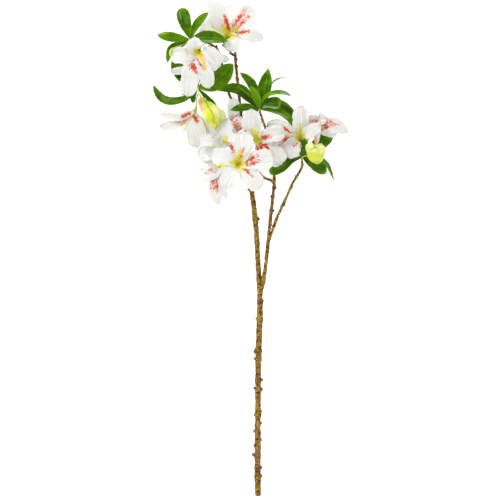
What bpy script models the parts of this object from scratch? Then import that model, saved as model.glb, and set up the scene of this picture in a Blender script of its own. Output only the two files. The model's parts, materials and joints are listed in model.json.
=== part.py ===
"""A cut branch of artificial rhododendron, lying on a level surface.

Metres, +Z up. The branch lies along +Y with its cut end towards -Y and its flowers facing up. Places are read
on a plan, a square grid seen from straight above, whose steps are STEP long; heights are in millimetres above
the surface. Every limb, bloom, bud and tuft of leaves is one closed solid. A stalk that meets a limb stops
CLEAR of it.
"""

from dataclasses import dataclass

import bpy
import numpy as np

MM = 0.001
STEP = 2.05 * MM  # one step of the plan: the whole branch measures about 1 m along 486 steps
PLAN_MIDDLE = 250.0
EYE = 4.0  # height that the plan is seen from, so that higher places stand a little further out on it

FOOT_STEP = 495.5  # where the stem was cut, on the plan
FOOT_HEIGHT = 6.0  # mm, centre of the stem at its cut end
STEM_CLIMB = 0.1855  # mm of height gained for each step along the stem

CLEAR = 0.3 * MM
PETAL_THICK = 1.0 * MM
LEAF_THICK = 0.95 * MM
STAMEN_RADIUS = 0.65 * MM
ANTHER = (1.5 * MM, 1.2 * MM, 1.2 * MM)
STAMEN_BOW = 1.5 * MM  # how far a stamen bows out between its foot and its anther
STALK_RADIUS = 1.5 * MM
CLAW_WIDTH = 5.2 * MM  # a petal where it leaves the throat
CLAW_SHARE = 0.62  # how far up the calyx cone a petal is rooted, and how far out in it
CONE_SHARES = (0.4, 0.75)  # where the calyx cone is measured, on the way from the calyx to the throat
CONE_RADII = (0.5, 0.76, 0.94)  # of the throat's radius
THROAT_RADIUS = 4.9 * MM
HUB_RADIUS = 3.0 * MM  # the swelling that a tuft's leaves grow from
HUB_NECK = (0.6, 0.8)  # radii of the short stem that holds it, of the hub's own

KNOB_REACH, KNOB_RISE = 0.92, 0.4  # a knob stands out by the first share of its length and leans by the second
KNOB_LIFT = 0.5  # mm that its tip stands above its foot
KNOB_TAPER = 0.55

UP = (0.0, 0.0, 1.0)
PETAL_SWELL, PETAL_ROUND = 1.15, 0.4
LEAF_SWELL, LEAF_ROUND, LEAF_FOLD, LEAF_FOOT = 0.95, 0.72, 0.25, 0.09
PETAL_CUP, PETAL_ROWS = 0.12, 5
NARROW_PETAL_END, NARROW_LEAF_END, BROAD_END = 0.24, 0.06, 0.45  # a blade's last row, of its widest
CUP_POWER = 1.6  # how steeply a cupped blade rises towards its edges
ROW_POWER = 1.35  # above 1, a blade's rows stand closer together towards its tip
KNOT_POWER = 0.7  # under 1, a curve bends more evenly where its places lie unevenly
CURVE_SAMPLES = 41

Place = tuple[float, float, float]


def unit(vector):
    vector = np.asarray(vector, float)
    return vector / max(np.linalg.norm(vector), 1e-12)


def at(x, y, height):
    """The point over plan place (x, y), height mm above the surface."""
    shrink = (EYE - height * MM) / EYE
    return np.array([(x - PLAN_MIDDLE) * STEP * shrink, (PLAN_MIDDLE - y) * STEP * shrink, height * MM])


def stem(x, y, lift=0.0):
    """A place on the slope that the main stem climbs, lift mm above its centre line."""
    return (x, y, FOOT_HEIGHT + (FOOT_STEP - y) * STEM_CLIMB + lift)


@dataclass(frozen=True)
class Limb:
    """A tapering limb through its places, with knobs as (plan y, side, length in steps, radius in mm)."""

    route: tuple[Place, ...]
    foot: float
    tip: float
    sides: int = 6
    rings: int = 0
    carrier: str = ""
    knobs: tuple[tuple[float, int, float, float], ...] = ()


@dataclass(frozen=True)
class Petal:
    """A petal from the throat over a middle place to its tip, its inner face turned towards `face`."""

    middle: Place
    tip: Place
    width: float
    face: Place = UP
    swell: float = PETAL_SWELL
    roundness: float = PETAL_ROUND
    spans: int = 3


@dataclass(frozen=True)
class Bloom:
    """A flower: stalk places from its carrier to the calyx, the throat, petals and the tips of its stamens."""

    carrier: str
    stalk: tuple[Place, ...]
    calyx: Place
    throat: Place
    petals: tuple[Petal, ...]
    stamens: tuple[Place, ...] = ()


@dataclass(frozen=True)
class Leaf:
    """A leaf from its tuft's hub through its places, the last one the tip."""

    route: tuple[Place, ...]
    width: float
    face: Place = UP
    swell: float = LEAF_SWELL
    roundness: float = LEAF_ROUND
    fold: float = LEAF_FOLD
    rows: int = 6


@dataclass(frozen=True)
class Tuft:
    """Leaves that grow from one hub just past the tip of a twig."""

    carrier: str
    hub: Place
    leaves: tuple[Leaf, ...]


@dataclass(frozen=True)
class Bud:
    """A bud turned round its own route, with a radius in mm at each place.

    The strap petals stand on its last place but one. A pouch hangs on a stalk of its own, a plain bud on none.
    """

    carrier: str
    route: tuple[Place, ...]
    radii: tuple[float, ...]
    rings: int = 12
    straps: tuple[Leaf, ...] = ()
    stalk: tuple[Place, ...] = ()


LIMBS = {
    "main_stem": Limb(
        route=(stem(258, 495.5), stem(257.6, 460), stem(258, 410), stem(258.5, 355), stem(259.6, 322),
               stem(259.8, 291), stem(258, 265), stem(255.6, 222), stem(252.4, 190), stem(243, 141)),
        foot=5.6, tip=4.4, sides=9, rings=30,
        knobs=((476.5, 1, 2.9, 2.2), (467.5, 1, 2.2, 2.6), (455.5, -1, 6.2, 2.3), (446, -1, 2.2, 2.2),
               (440, 1, 2.1, 2.4), (431.5, -1, 2.6, 2.3), (423.6, 1, 3.3, 1.9), (415, -1, 2.2, 2.2),
               (411.5, 1, 2.4, 2.0), (389.5, 1, 2.9, 2.8), (389, -1, 3.0, 2.0), (380.5, 1, 5.6, 2.0),
               (359.2, -1, 4.4, 2.0), (351, -1, 3.6, 4.2), (319.3, -1, 2.4, 1.3), (301.5, 1, 2.7, 1.6),
               (219, 1, 3.8, 2.6), (190, -1, 4.2, 1.8))),
    "right_limb": Limb(
        route=(stem(259.9, 296, -1), stem(263.8, 278, 3), stem(267.4, 250, 5), stem(270.3, 220, 6),
               stem(274.2, 182, 3), (274.6, 168, 66), (273, 150, 58), (264.8, 126.5, 66), (259.7, 111.5, 72)),
        foot=4.0, tip=2.1, sides=7, rings=20, carrier="main_stem",
        knobs=((281.5, 1, 2.4, 1.4), (211, 1, 2.6, 1.6), (196.5, -1, 2.0, 1.5), (187.5, 1, 2.1, 1.6))),
    "right_twig": Limb(
        route=(stem(269.3, 240, 6), stem(275.8, 220, 8), stem(285.2, 199, 8), stem(293.9, 180, 4),
               stem(300.4, 170), stem(302.4, 165), (301.6, 160.5, 66)),
        foot=3.1, tip=2.1, carrier="right_limb"),
    "side_twig": Limb(
        route=(stem(274.1, 184, 3), (271.6, 180.8, 70), (263.8, 177.4, 76), (257.6, 171, 81), (252, 166, 86)),
        foot=2.0, tip=1.5, carrier="right_limb"),
    "tall_twig": Limb(
        route=((243.1, 142.5, 71.7), (240.4, 113, 76), (238.9, 94, 74), (237, 75, 68), (237.3, 66, 66),
               (235.7, 52, 65)),
        foot=2.8, tip=2.0, rings=12, carrier="main_stem", knobs=((66.4, 1, 2.1, 1.5), (59.4, 1, 2.1, 1.4))),
    "left_twig": Limb(
        route=((241.6, 124, 74.4), (236.5, 112, 66), (229.4, 95, 56), (222, 64, 52), (218.6, 52, 60),
               (214.5, 47, 66), (207, 42.6, 72), (192.4, 39.6, 76)),
        foot=2.2, tip=1.9, carrier="tall_twig"),
    "left_stub": Limb(
        route=((217.9, 50.6, 61), (216.4, 45.2, 63)), foot=1.9, tip=1.5, rings=3, carrier="left_twig"),
    "drooping_twig": Limb(
        route=((223.3, 69, 51.5), (214, 75, 50), (200.5, 78.8, 52), (197.9, 85.2, 56)),
        foot=1.4, tip=1.2, rings=7, carrier="left_twig"),
}

BLOOMS = {
    "bloom_top": Bloom(
        carrier="tall_twig", stalk=((235.9, 55.6, 65), (231, 52.3, 62), (227, 49.5, 58)),
        calyx=(222.5, 46, 58), throat=(228.5, 34.5, 80),
        petals=(Petal((221, 20, 92), (220, 4.8, 88), 47, (0.1, -0.1, 1), 0.85, 0.2, 4),
                Petal((240, 20, 92), (253.5, 10.5, 94), 37, (-0.1, 0.1, 1)),
                Petal((246, 35, 90), (263, 38.2, 90), 26, (0, 0.1, 1)),
                Petal((234, 43, 80), (233, 50.8, 72), 30, (0, -0.2, 1)),
                Petal((212.5, 29, 70), (202.5, 24.5, 62), 50, (0, 0.1, 1), 0.8, 0.25)),
        stamens=((236, 26, 94), (238, 33, 95), (232, 24, 94))),
    "bloom_upper_left": Bloom(
        carrier="left_twig", stalk=((207.5, 42.8, 71.6), (206.5, 44, 76)),
        calyx=(203, 47, 82), throat=(197, 53, 104),
        petals=(Petal((196, 45, 116), (195.5, 37.4, 112), 38, (0, -0.1, 1), 0.8, 0.25),
                Petal((184, 54.8, 112), (172.8, 54.6, 106), 32, UP, 0.8, 0.25),
                Petal((191, 74, 115), (187.3, 96, 104), 38, UP, 0.8),
                Petal((204.5, 70, 114), (209.4, 87.4, 108), 31, (0.1, 0, 1)),
                Petal((209.5, 55, 111), (222, 63, 104), 49, UP, 0.8, 0.25)),
        stamens=((196, 60, 120), (199, 59, 120))),
    "bloom_upper_left_back": Bloom(
        carrier="left_twig", stalk=((214.1, 46.8, 66.4), (211, 50, 66)),
        calyx=(208, 54, 62), throat=(199, 62.5, 54),
        petals=(Petal((216, 58, 62), (229, 59.6, 74), 19, (0.2, 0.2, -1)),
                Petal((185, 69.5, 74), (171, 71.6, 78), 16, (0, 0.1, -1)),
                Petal((209, 52, 50), (216, 47, 46), 24, (0.2, 0.5, -1)),
                Petal((190.6, 56.4, 39), (181, 54, 23), 32, (-0.6, 0.4, -0.6)),
                Petal((204, 72, 28), (207, 79, 1.6), 32, (0.5, -0.7, -0.3)))),
    "bloom_left_hanging": Bloom(
        carrier="leaves_left", stalk=((197.6, 88, 58), (198.2, 92, 54), (196.6, 99, 54)),
        calyx=(196.5, 108.5, 56), throat=(193.5, 117, 62),
        petals=(Petal((178, 115.5, 62), (160.6, 111.6, 56), 19, (0, 0.75, 0.65)),
                Petal((176, 124, 68), (160.2, 125.6, 62), 19, (0, 0.2, 1)),
                Petal((197, 133, 68), (198, 147, 52), 43, (0, -0.3, 1)),
                Petal((207, 130, 50), (217, 143, 42), 34, (0.2, 0, 1)),
                Petal((191, 124, 32), (190, 132, 3), 34, (-0.3, 0.9, 0))),
        stamens=((180, 136.5, 74),)),
    "bloom_left": Bloom(
        carrier="main_stem", stalk=((244.4, 148, 70), (240, 148, 67)),
        calyx=(237, 147, 66), throat=(224, 143, 78),
        petals=(Petal((225.8, 133, 84), (226.2, 119, 80), 29, (-0.1, 0, 1)),
                Petal((219.8, 134, 70), (219.8, 120.5, 56), 22, (-0.9, 0, 0.45)),
                Petal((212, 140.5, 86), (199.5, 141.5, 84), 28, (0, 0.3, 0.95)),
                Petal((212, 150.5, 78), (198.5, 154, 66), 34, (-0.1, -0.1, 0.95), 0.8, 0.25),
                Petal((219, 150, 58), (213, 158, 40), 30, (-0.6, -0.3, 0.4))),
        stamens=((213, 137, 92),)),
    "bloom_front": Bloom(
        carrier="main_stem", stalk=((245.4, 154, 69.3), (243.2, 156, 76)),
        calyx=(240.4, 160.5, 86), throat=(238.3, 164, 116),
        petals=(Petal((226.5, 158.5, 125), (211.8, 154, 124), 36, (0.1, -0.1, 1)),
                Petal((241, 148, 129), (241.5, 133, 131), 49, (0, 0.1, 1), 1.15, 0.32, 4),
                Petal((256, 160.5, 125), (272.3, 158, 123), 42, (-0.1, 0, 1), 1.15, 0.3),
                Petal((250, 175.5, 122), (258.5, 189.5, 116), 36, (0, 0.1, 1), 1.15, 0.3),
                Petal((231, 174.5, 122), (227.5, 187.5, 117), 37, (0, 0.1, 1), 1.15, 0.3)),
        stamens=((235, 152, 138), (244, 152, 140), (250, 149, 137))),
    "bloom_right_centre": Bloom(
        carrier="main_stem", stalk=((243.9, 144.6, 71), (244.8, 145.4, 74)),
        calyx=(247.5, 146, 78), throat=(256.5, 139, 98),
        petals=(Petal((252, 126, 107), (251, 109.8, 108), 38, (0, -0.1, 1), 0.8),
                Petal((270, 134.8, 107), (284, 132, 108), 33, (0, 0.1, 1), 0.8, 0.25),
                Petal((270, 150, 98), (281.5, 163.5, 92), 39, (-0.1, 0.1, 1), 1.15, 0.3),
                Petal((261, 152, 90), (263, 166, 80), 32, (0.2, -0.2, 1)),
                Petal((247, 131.2, 107), (237, 137, 110), 14, (-0.2, 0.3, 1))),
        stamens=((252, 133.5, 112), (258.5, 132.5, 112), (258, 148, 108))),
    "bloom_back": Bloom(
        carrier="main_stem", stalk=((243.6, 144, 70), (242.4, 142, 62)),
        calyx=(241, 139, 58), throat=(238, 132, 56),
        petals=(Petal((234.3, 117, 58), (233.8, 98.5, 50), 26, (0, 0.1, 1)),
                Petal((243, 122, 54), (247, 109, 42), 28, (0.3, 0.2, 0.9)),
                Petal((232, 128, 42), (231, 124, 14), 30, (-0.3, 0.9, 0.2)),
                Petal((243, 134, 38), (248, 130, 10), 30, (0.5, 0.8, 0.2)),
                Petal((237, 140, 30), (238, 146, 8), 30, (0, -0.9, 0)))),
    "bloom_lower_left": Bloom(
        carrier="main_stem", stalk=((246, 152.4, 69.5), (241, 153.5, 63)),
        calyx=(237, 156, 60), throat=(220, 167, 72),
        petals=(Petal((210.5, 171.5, 84), (200.6, 173, 80), 31, (0.1, 0.2, 1), 0.8, 0.25),
                Petal((216, 184, 84), (219.3, 204.8, 72), 29, (0.1, -0.2, 1), 1.15, 0.6),
                Petal((224.4, 182, 70), (228.3, 199.6, 58), 14, (0.1, -0.2, 1)),
                Petal((209, 161, 58), (203, 157, 40), 26, (-0.2, 0.5, 0.6)),
                Petal((214, 175, 48), (207, 180, 22), 30, (-0.7, -0.3, 0.3))),
        stamens=((209, 165, 90),)),
    "bloom_right": Bloom(
        carrier="leaves_right", stalk=((302.3, 157, 68), (299.2, 154.4, 66)),
        calyx=(301.8, 147.5, 66), throat=(299.5, 137, 86),
        petals=(Petal((301.2, 122, 98), (301.1, 105.8, 98), 27, (0, -0.1, 1), 0.8),
                Petal((284, 128, 92), (267.5, 126.5, 82), 30, (0, 0.1, 1)),
                Petal((285.5, 141, 92), (273, 144, 84), 27, UP),
                Petal((292, 147.5, 92), (290, 157.6, 84), 37, UP, 0.8, 0.25),
                Petal((310, 131.5, 103), (319.5, 128.4, 105), 22, UP)),
        stamens=((282, 132.5, 116), (300.5, 124, 108))),
    "bloom_far_right": Bloom(
        carrier="leaves_right", stalk=((302.3, 157, 68), (302.6, 155, 58), (303.4, 150, 52)),
        calyx=(305, 143, 52), throat=(315.5, 127, 64),
        petals=(Petal((331, 124.4, 80), (348.3, 131.6, 72), 31, (0, 0.1, 1)),
                Petal((321, 118.5, 74), (329, 117, 58), 26, (0.1, 0.8, 0.55)),
                Petal((311, 119.5, 70), (305.5, 117, 56), 22, (-0.1, 0.8, 0.6)),
                Petal((327, 131, 62), (336, 134.5, 54), 22, (0.3, -0.3, 0.6)),
                Petal((318, 128, 42), (322, 126, 16), 30, (0.8, 0.3, 0.1))),
        stamens=((316.5, 112, 80), (320.5, 112, 80))),
}

TUFTS = {
    "leaves_top_left": Tuft("left_twig", (190, 39.5, 76), (
        Leaf(((185.4, 23, 84), (181.4, 8.3, 86)), 28, (-0.1, 0, 1), 1.0, 0.42),
        Leaf(((197.8, 22.6, 86), (208.3, 12.6, 88)), 17, (0.1, -0.1, 1)),
        Leaf(((173, 37.5, 80), (157.3, 34.8, 76)), 21, (0, 0.2, 1)),
        Leaf(((199, 37.6, 92), (212.5, 37.3, 108), (227.3, 41, 106)), 26, (0, 0.1, 1)),
        Leaf(((184, 43.5, 62), (172, 49, 56), (167, 61.5, 54)), 13, (-0.1, 0.3, 1)))),
    "leaves_left": Tuft("drooping_twig", (197.6, 88, 58), (
        Leaf(((187, 97.6, 52), (173, 101.4, 42), (163.3, 99.2, 33), (157, 92.5, 27), (153.5, 85.3, 24)), 18,
             (0, 0.3, 1), rows=8),
        Leaf(((212, 80.5, 68), (232.5, 64, 72)), 37, (-0.2, 0.1, 1)),
        Leaf(((207, 98, 56), (217, 107, 52)), 11, (0.4, 0.3, 0.9)),
        Leaf(((193.5, 96, 50), (193.5, 103, 44)), 13, (-0.2, 0.2, 0.9)),
        Leaf(((190, 92.5, 60), (181.3, 95, 66)), 6, (0, 0.2, 1)),
        Leaf(((183.5, 74.5, 62), (173.2, 59.5, 56)), 25, (0.2, 0, 1)))),
    "leaves_centre": Tuft("right_limb", (259.5, 109.6, 75), (
        Leaf(((250.5, 98, 84), (237, 87.4, 87), (217, 90, 80)), 25, (0.2, -0.5, 0.85), fold=0.5, rows=7),
        Leaf(((256.8, 97, 78), (251, 83.4, 84), (240.2, 72.8, 88)), 18, (0.2, 0.1, 0.9)),
        Leaf(((262.6, 97, 82), (265.4, 84, 86), (268.5, 69, 86)), 28, (0, -0.1, 1)),
        Leaf(((256.4, 97.5, 94), (250.8, 86.3, 102)), 16, (0.1, 0, 1)),
        Leaf(((266, 95, 74), (273.5, 82, 76), (285.5, 76.6, 72)), 12, (-0.6, 1, 0.1)),
        Leaf(((264, 98, 92), (270.4, 93.7, 98), (282, 92.6, 101), (290.4, 95.8, 95)), 9, (0, 0.35, 0.9)),
        Leaf(((270, 104, 87), (281.5, 105, 90)), 25, (0, -0.1, 1), 1.1, 0.4),
        Leaf(((270, 110.2, 80), (281, 113, 82), (290, 120, 82), (297.2, 134.6, 77)), 11, UP, rows=7),
        Leaf(((274, 103.4, 70), (284, 107.4, 66), (292, 119, 58)), 26, UP),
        Leaf(((246, 107.2, 88), (230.8, 110, 92)), 16, (0, 0.1, 1)),
        Leaf(((251, 112.5, 82), (242, 117.6, 80)), 12, (0, -0.2, 1)))),
    "leaves_right": Tuft("right_twig", (302.3, 157, 68), (
        Leaf(((291, 160, 74), (281, 167.3, 76), (269.8, 172.6, 72)), 21, (0, -0.1, 1), 0.75, 0.3),
        Leaf(((312, 163.5, 62), (325.8, 173.6, 56)), 29, (0.1, 0.1, 1)),
        Leaf(((322, 161, 38), (333, 179, 1.5)), 11, (0.5, 0.3, 0.8)),
        Leaf(((313, 151, 52), (332.4, 134, 40)), 33, (0.1, 0.1, 1), 1.2, 0.4),
        Leaf(((301.2, 151, 84), (299.6, 141, 102)), 14, (0.3, -0.2, 1)))),
}

BUDS = {
    "bud_left": Bud(
        "leaves_left", ((197.8, 88.2, 60), (198.6, 93, 68), (202, 99.5, 78), (207, 106.5, 84),
                        (212.4, 113.6, 88), (214.8, 121, 88), (216, 129.6, 86)),
        (1.6, 2.0, 6.5, 11, 16.5, 12, 1.2), 13),
    "bud_right": Bud(
        "leaves_right", ((317.6, 163.6, 90), (317.2, 160.5, 92), (316.4, 155.5, 94), (315.8, 149.5, 96),
                         (315.2, 144.2, 97)),
        (3.0, 12.5, 18.0, 19.0, 16.5), 9,
        straps=(Leaf(((318.4, 135, 114), (316.6, 121.5, 114)), 10, (0.2, 0, 1), rows=5),),
        stalk=((302.3, 157, 68), (306.5, 160.5, 75), (312.5, 163.4, 83), (317.4, 161.6, 91))),
    "bud_top_left": Bud(
        "leaves_top_left", ((190, 39.5, 76), (184.4, 44, 71), (176, 46.8, 67), (171.4, 50, 66),
                            (170.6, 54, 67), (171, 57, 67)),
        (0.9, 0.9, 1.0, 2.6, 3.2, 0.8), 10),
}


def smooth_curve(places, shares):
    """Points at the given shares of a smooth curve through the places."""
    points = np.array(places, float)
    if len(points) == 2:
        return points[0] + (points[1] - points[0]) * np.asarray(shares)[:, None]
    knots = knots_of(points)
    slopes = np.empty_like(points)
    spans = np.diff(knots)
    rates = np.diff(points, axis=0) / spans[:, None]
    for i in range(1, len(points) - 1):
        slopes[i] = (rates[i - 1] * spans[i] + rates[i] * spans[i - 1]) / (spans[i] + spans[i - 1])
    slopes[0] = 1.5 * rates[0] - 0.5 * slopes[1]
    slopes[-1] = 1.5 * rates[-1] - 0.5 * slopes[-2]
    found = []
    for share in shares:
        i = int(np.clip(np.searchsorted(knots, share, side="right") - 1, 0, len(points) - 2))
        t = (share - knots[i]) / spans[i]
        found.append((2 * t**3 - 3 * t**2 + 1) * points[i] + (t**3 - 2 * t**2 + t) * spans[i] * slopes[i]
                     + (3 * t**2 - 2 * t**3) * points[i + 1] + (t**3 - t**2) * spans[i] * slopes[i + 1])
    return np.array(found)


def knots_of(points):
    """The share of the curve at which each of its places is passed."""
    lengths = np.linalg.norm(np.diff(np.array(points, float), axis=0), axis=1) ** KNOT_POWER
    knots = np.concatenate([[0.0], np.cumsum(lengths)])
    return knots / knots[-1]


def half_outline(shares, swell, roundness, least):
    """How wide a blade is at each share of its length, 1 at its widest."""
    top = swell / (swell + roundness)
    peak = top**swell * (1 - top) ** roundness
    return np.maximum(shares**swell * np.maximum(1 - shares, 0) ** roundness / peak, least)


def outward(points, faces):
    """The faces, turned so that they point out of the closed shape."""
    corners = points - points.mean(axis=0)
    volume = 0.0
    for face in faces:
        for second, third in zip(face[1:], face[2:]):
            volume += np.dot(corners[face[0]], np.cross(corners[second], corners[third]))
    return points, (faces if volume > 0 else [tuple(reversed(face)) for face in faces])


def blade(places, width, face, swell, roundness, least, end, cup, rows, spans, thick):
    """A thin closed sheet along the places: a petal or a leaf."""
    shares = 1 - (1 - np.linspace(0, 1, rows + 1)) ** ROW_POWER
    centre = smooth_curve(places, shares)
    even = np.linspace(0, 1, CURVE_SAMPLES)
    course = np.gradient(smooth_curve(places, even), axis=0)
    half = width / 2 * half_outline(shares, swell, roundness, least)
    half[-1] = width / 2 * end
    top, under = [], []
    for i, share in enumerate(shares):
        along = unit([np.interp(share, even, course[:, k]) for k in range(3)])
        normal = unit(unit(face) - along * np.dot(unit(face), along))
        side = np.cross(along, normal)
        for v in np.linspace(-1, 1, spans + 1):
            out, lift = v * np.sqrt(1 - 0.5 * (cup * v) ** 2), cup * abs(v) ** CUP_POWER
            point = centre[i] + half[i] * (side * out + normal * lift)
            slope = unit(normal - side * cup * CUP_POWER * np.sign(v) * abs(v) ** (CUP_POWER - 1))
            top.append(point + slope * thick / 2)
            under.append(point - slope * thick / 2)
    across, count = spans + 1, len(top)
    faces = []
    for i in range(rows):
        for j in range(spans):
            a, b = i * across + j, (i + 1) * across + j
            faces.append((a, a + 1, b + 1, b))
            faces.append((a + count, b + count, b + 1 + count, a + 1 + count))
    rim = list(range(across)) + [i * across + spans for i in range(1, rows + 1)]
    rim += [rows * across + j for j in range(spans - 1, -1, -1)]
    rim += [i * across for i in range(rows - 1, 0, -1)]
    faces += [(a, a + count, b + count, b) for a, b in zip(rim, rim[1:] + rim[:1])]
    return outward(np.array(top + under), faces)


def rod(places, radii, sides, rings, grow=0.0):
    """A round rod through the places. `grow` makes it fatter and longer, for cutting a neighbour clear."""
    shares = np.linspace(0, 1, rings)
    centre = smooth_curve(places, shares)
    at_knots = knots_of(places) if len(radii) == len(places) else np.linspace(0, 1, len(radii))
    radius = np.interp(shares, at_knots, radii) + grow
    course = np.gradient(centre, axis=0)
    across = np.cross(course[0], (0.31, 0.17, 0.93))
    points = []
    for i in range(rings):
        along = unit(course[i])
        across = unit(across - along * np.dot(across, along))
        other = np.cross(along, across)
        middle = centre[i] + along * grow * (i == rings - 1) - along * grow * (i == 0)
        for turn in np.linspace(0, 2 * np.pi, sides, endpoint=False):
            points.append(middle + radius[i] * (np.cos(turn) * across + np.sin(turn) * other))
    faces = []
    for i in range(rings - 1):
        for k in range(sides):
            after = (k + 1) % sides
            faces.append((i * sides + k, i * sides + after, (i + 1) * sides + after, (i + 1) * sides + k))
    faces += [tuple(range(sides - 1, -1, -1)), tuple((rings - 1) * sides + k for k in range(sides))]
    return outward(np.array(points), faces)


def ball(centre, radii, sides=6, rings=4):
    """A small ball with its poles up and down."""
    points = [centre + radii * np.array(UP)]
    for i in range(1, rings):
        tilt = np.pi * i / rings
        for turn in np.linspace(0, 2 * np.pi, sides, endpoint=False):
            level = np.sin(tilt) * np.array([np.cos(turn), np.sin(turn), 0.0])
            points.append(centre + radii * (level + np.cos(tilt) * np.array(UP)))
    points.append(centre - radii * np.array(UP))
    last = 1 + (rings - 2) * sides
    faces = []
    for k in range(sides):
        after = (k + 1) % sides
        faces += [(0, 1 + k, 1 + after), (len(points) - 1, last + after, last + k)]
        for i in range(rings - 2):
            upper, lower = 1 + i * sides, 1 + (i + 1) * sides
            faces.append((upper + k, lower + k, lower + after, upper + after))
    return outward(np.array(points), faces)


def limb_rod(limb, grow=0.0):
    places = [at(*place) for place in limb.route]
    rings = limb.rings or 2 * len(places) - 1
    return rod(places, np.array([limb.foot, limb.tip]) * MM, limb.sides, rings, grow)


def limb_shapes(limb):
    """The limb and its knobs, which lean towards its tip."""
    shapes = [limb_rod(limb)]
    plan = np.array(sorted(limb.route, key=lambda place: place[1]))
    for y, side, length, radius in limb.knobs:
        x, height = np.interp(y, plan[:, 1], plan[:, 0]), np.interp(y, plan[:, 1], plan[:, 2])
        tip = at(x + side * length * KNOB_REACH, y - length * KNOB_RISE, height + KNOB_LIFT)
        radii = np.array([radius, radius * KNOB_TAPER]) * MM
        shapes.append(rod([at(x, y, height), tip], radii, 4 if radius < 2.5 else 5, 2))
    return shapes


def bloom_shapes(bloom):
    """The stalk, the calyx cone, five petals and the long stamens."""
    calyx, throat = at(*bloom.calyx), at(*bloom.throat)
    facing = unit(throat - calyx)
    cone = [calyx] + [calyx + (throat - calyx) * share for share in CONE_SHARES]
    stalk = [at(*place) for place in bloom.stalk] + [calyx * 0.9 + throat * 0.1]
    shapes = [
        rod(cone, np.array(CONE_RADII) * THROAT_RADIUS, 8, 3),
        rod(stalk, np.array([0.9, 1.1]) * STALK_RADIUS, 5, len(bloom.stalk) + 3),
    ]
    for petal in bloom.petals:
        middle, tip = at(*petal.middle), at(*petal.tip)
        away = middle - throat
        away = unit(away - facing * np.dot(away, facing))
        claw = calyx + (throat - calyx) * CLAW_SHARE + away * THROAT_RADIUS * CLAW_SHARE
        rim = throat + away * THROAT_RADIUS - facing * MM
        end = NARROW_PETAL_END if petal.roundness == PETAL_ROUND else BROAD_END
        foot = CLAW_WIDTH / (petal.width * MM)
        shapes.append(blade([claw, rim, middle, tip], petal.width * MM, petal.face, petal.swell, petal.roundness,
                            foot, end, PETAL_CUP, PETAL_ROWS, petal.spans, PETAL_THICK))
    for place in bloom.stamens:
        tip, start = at(*place), calyx * 0.35 + throat * 0.65
        middle = (start + tip) / 2 + facing * STAMEN_BOW
        shapes.append(rod([start, middle, tip], [1.1 * STAMEN_RADIUS, 0.9 * STAMEN_RADIUS], 3, 4))
        shapes.append(ball(tip, np.array(ANTHER), 4, 3))
    return shapes


def leaf_shape(start, leaf, grow=0.0):
    end = NARROW_LEAF_END if leaf.roundness == LEAF_ROUND else BROAD_END
    places = [start] + [at(*place) for place in leaf.route]
    return blade(places, leaf.width * MM + 2 * grow, leaf.face, leaf.swell, leaf.roundness, LEAF_FOOT, end,
                 leaf.fold, leaf.rows, 2, LEAF_THICK + 2 * grow)


def tuft_shapes(tuft):
    """The hub, the short stem that holds it to its twig, and its leaves."""
    hub = at(*tuft.hub)
    twig_tip = at(*LIMBS[tuft.carrier].route[-1])
    neck = rod([twig_tip, hub], np.array(HUB_NECK) * HUB_RADIUS, 6, 2)
    return [ball(hub, np.full(3, HUB_RADIUS)), neck] + [leaf_shape(hub, leaf) for leaf in tuft.leaves]


def bud_shapes(bud):
    body = [at(*place) for place in bud.route]
    shapes = [rod(body, np.array(bud.radii) * MM, 9, bud.rings)]
    if bud.stalk:
        stalk = [at(*place) for place in bud.stalk]
        shapes.append(rod(stalk, np.array([1.0, 1.3]) * STALK_RADIUS, 6, 2 * len(stalk)))
    return shapes + [leaf_shape(body[-2], strap) for strap in bud.straps]


def carrier_cut(name):
    """The carrier made fatter by CLEAR: what is cut by it stands that much clear of it."""
    if name in LIMBS:
        return [limb_rod(LIMBS[name], CLEAR)]
    if name in TUFTS:
        hub = at(*TUFTS[name].hub)
        grown = [leaf_shape(hub, leaf, CLEAR) for leaf in TUFTS[name].leaves]
        return [ball(hub, np.full(3, HUB_RADIUS + CLEAR), 12, 10)] + grown
    return []


def branch_solids():
    """Every node's name with the shapes that make it up, the shapes that cut it clear, and its finish."""
    solids = {name: (limb_shapes(limb), carrier_cut(limb.carrier), "stem") for name, limb in LIMBS.items()}
    solids |= {name: (bloom_shapes(bloom), carrier_cut(bloom.carrier), "petal") for name, bloom in BLOOMS.items()}
    solids |= {name: (tuft_shapes(tuft), carrier_cut(tuft.carrier), "leaf") for name, tuft in TUFTS.items()}
    solids |= {name: (bud_shapes(bud), carrier_cut(bud.carrier), "bud") for name, bud in BUDS.items()}
    return solids


FINISHES = {
    "stem": ((0.24, 0.15, 0.045, 1.0), 0.7),
    "petal": ((0.86, 0.86, 0.83, 1.0), 0.6),
    "leaf": ((0.07, 0.24, 0.02, 1.0), 0.4),
    "bud": ((0.62, 0.68, 0.07, 1.0), 0.55),
}


def clear_scene():
    for obj in list(bpy.data.objects):
        bpy.data.objects.remove(obj, do_unlink=True)


def object_of(name, shape, holder):
    points, faces = shape
    mesh = bpy.data.meshes.new(name)
    mesh.from_pydata(points.tolist(), [], faces)
    mesh.update()
    obj = bpy.data.objects.new(name, mesh)
    holder.objects.link(obj)
    return obj


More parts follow.
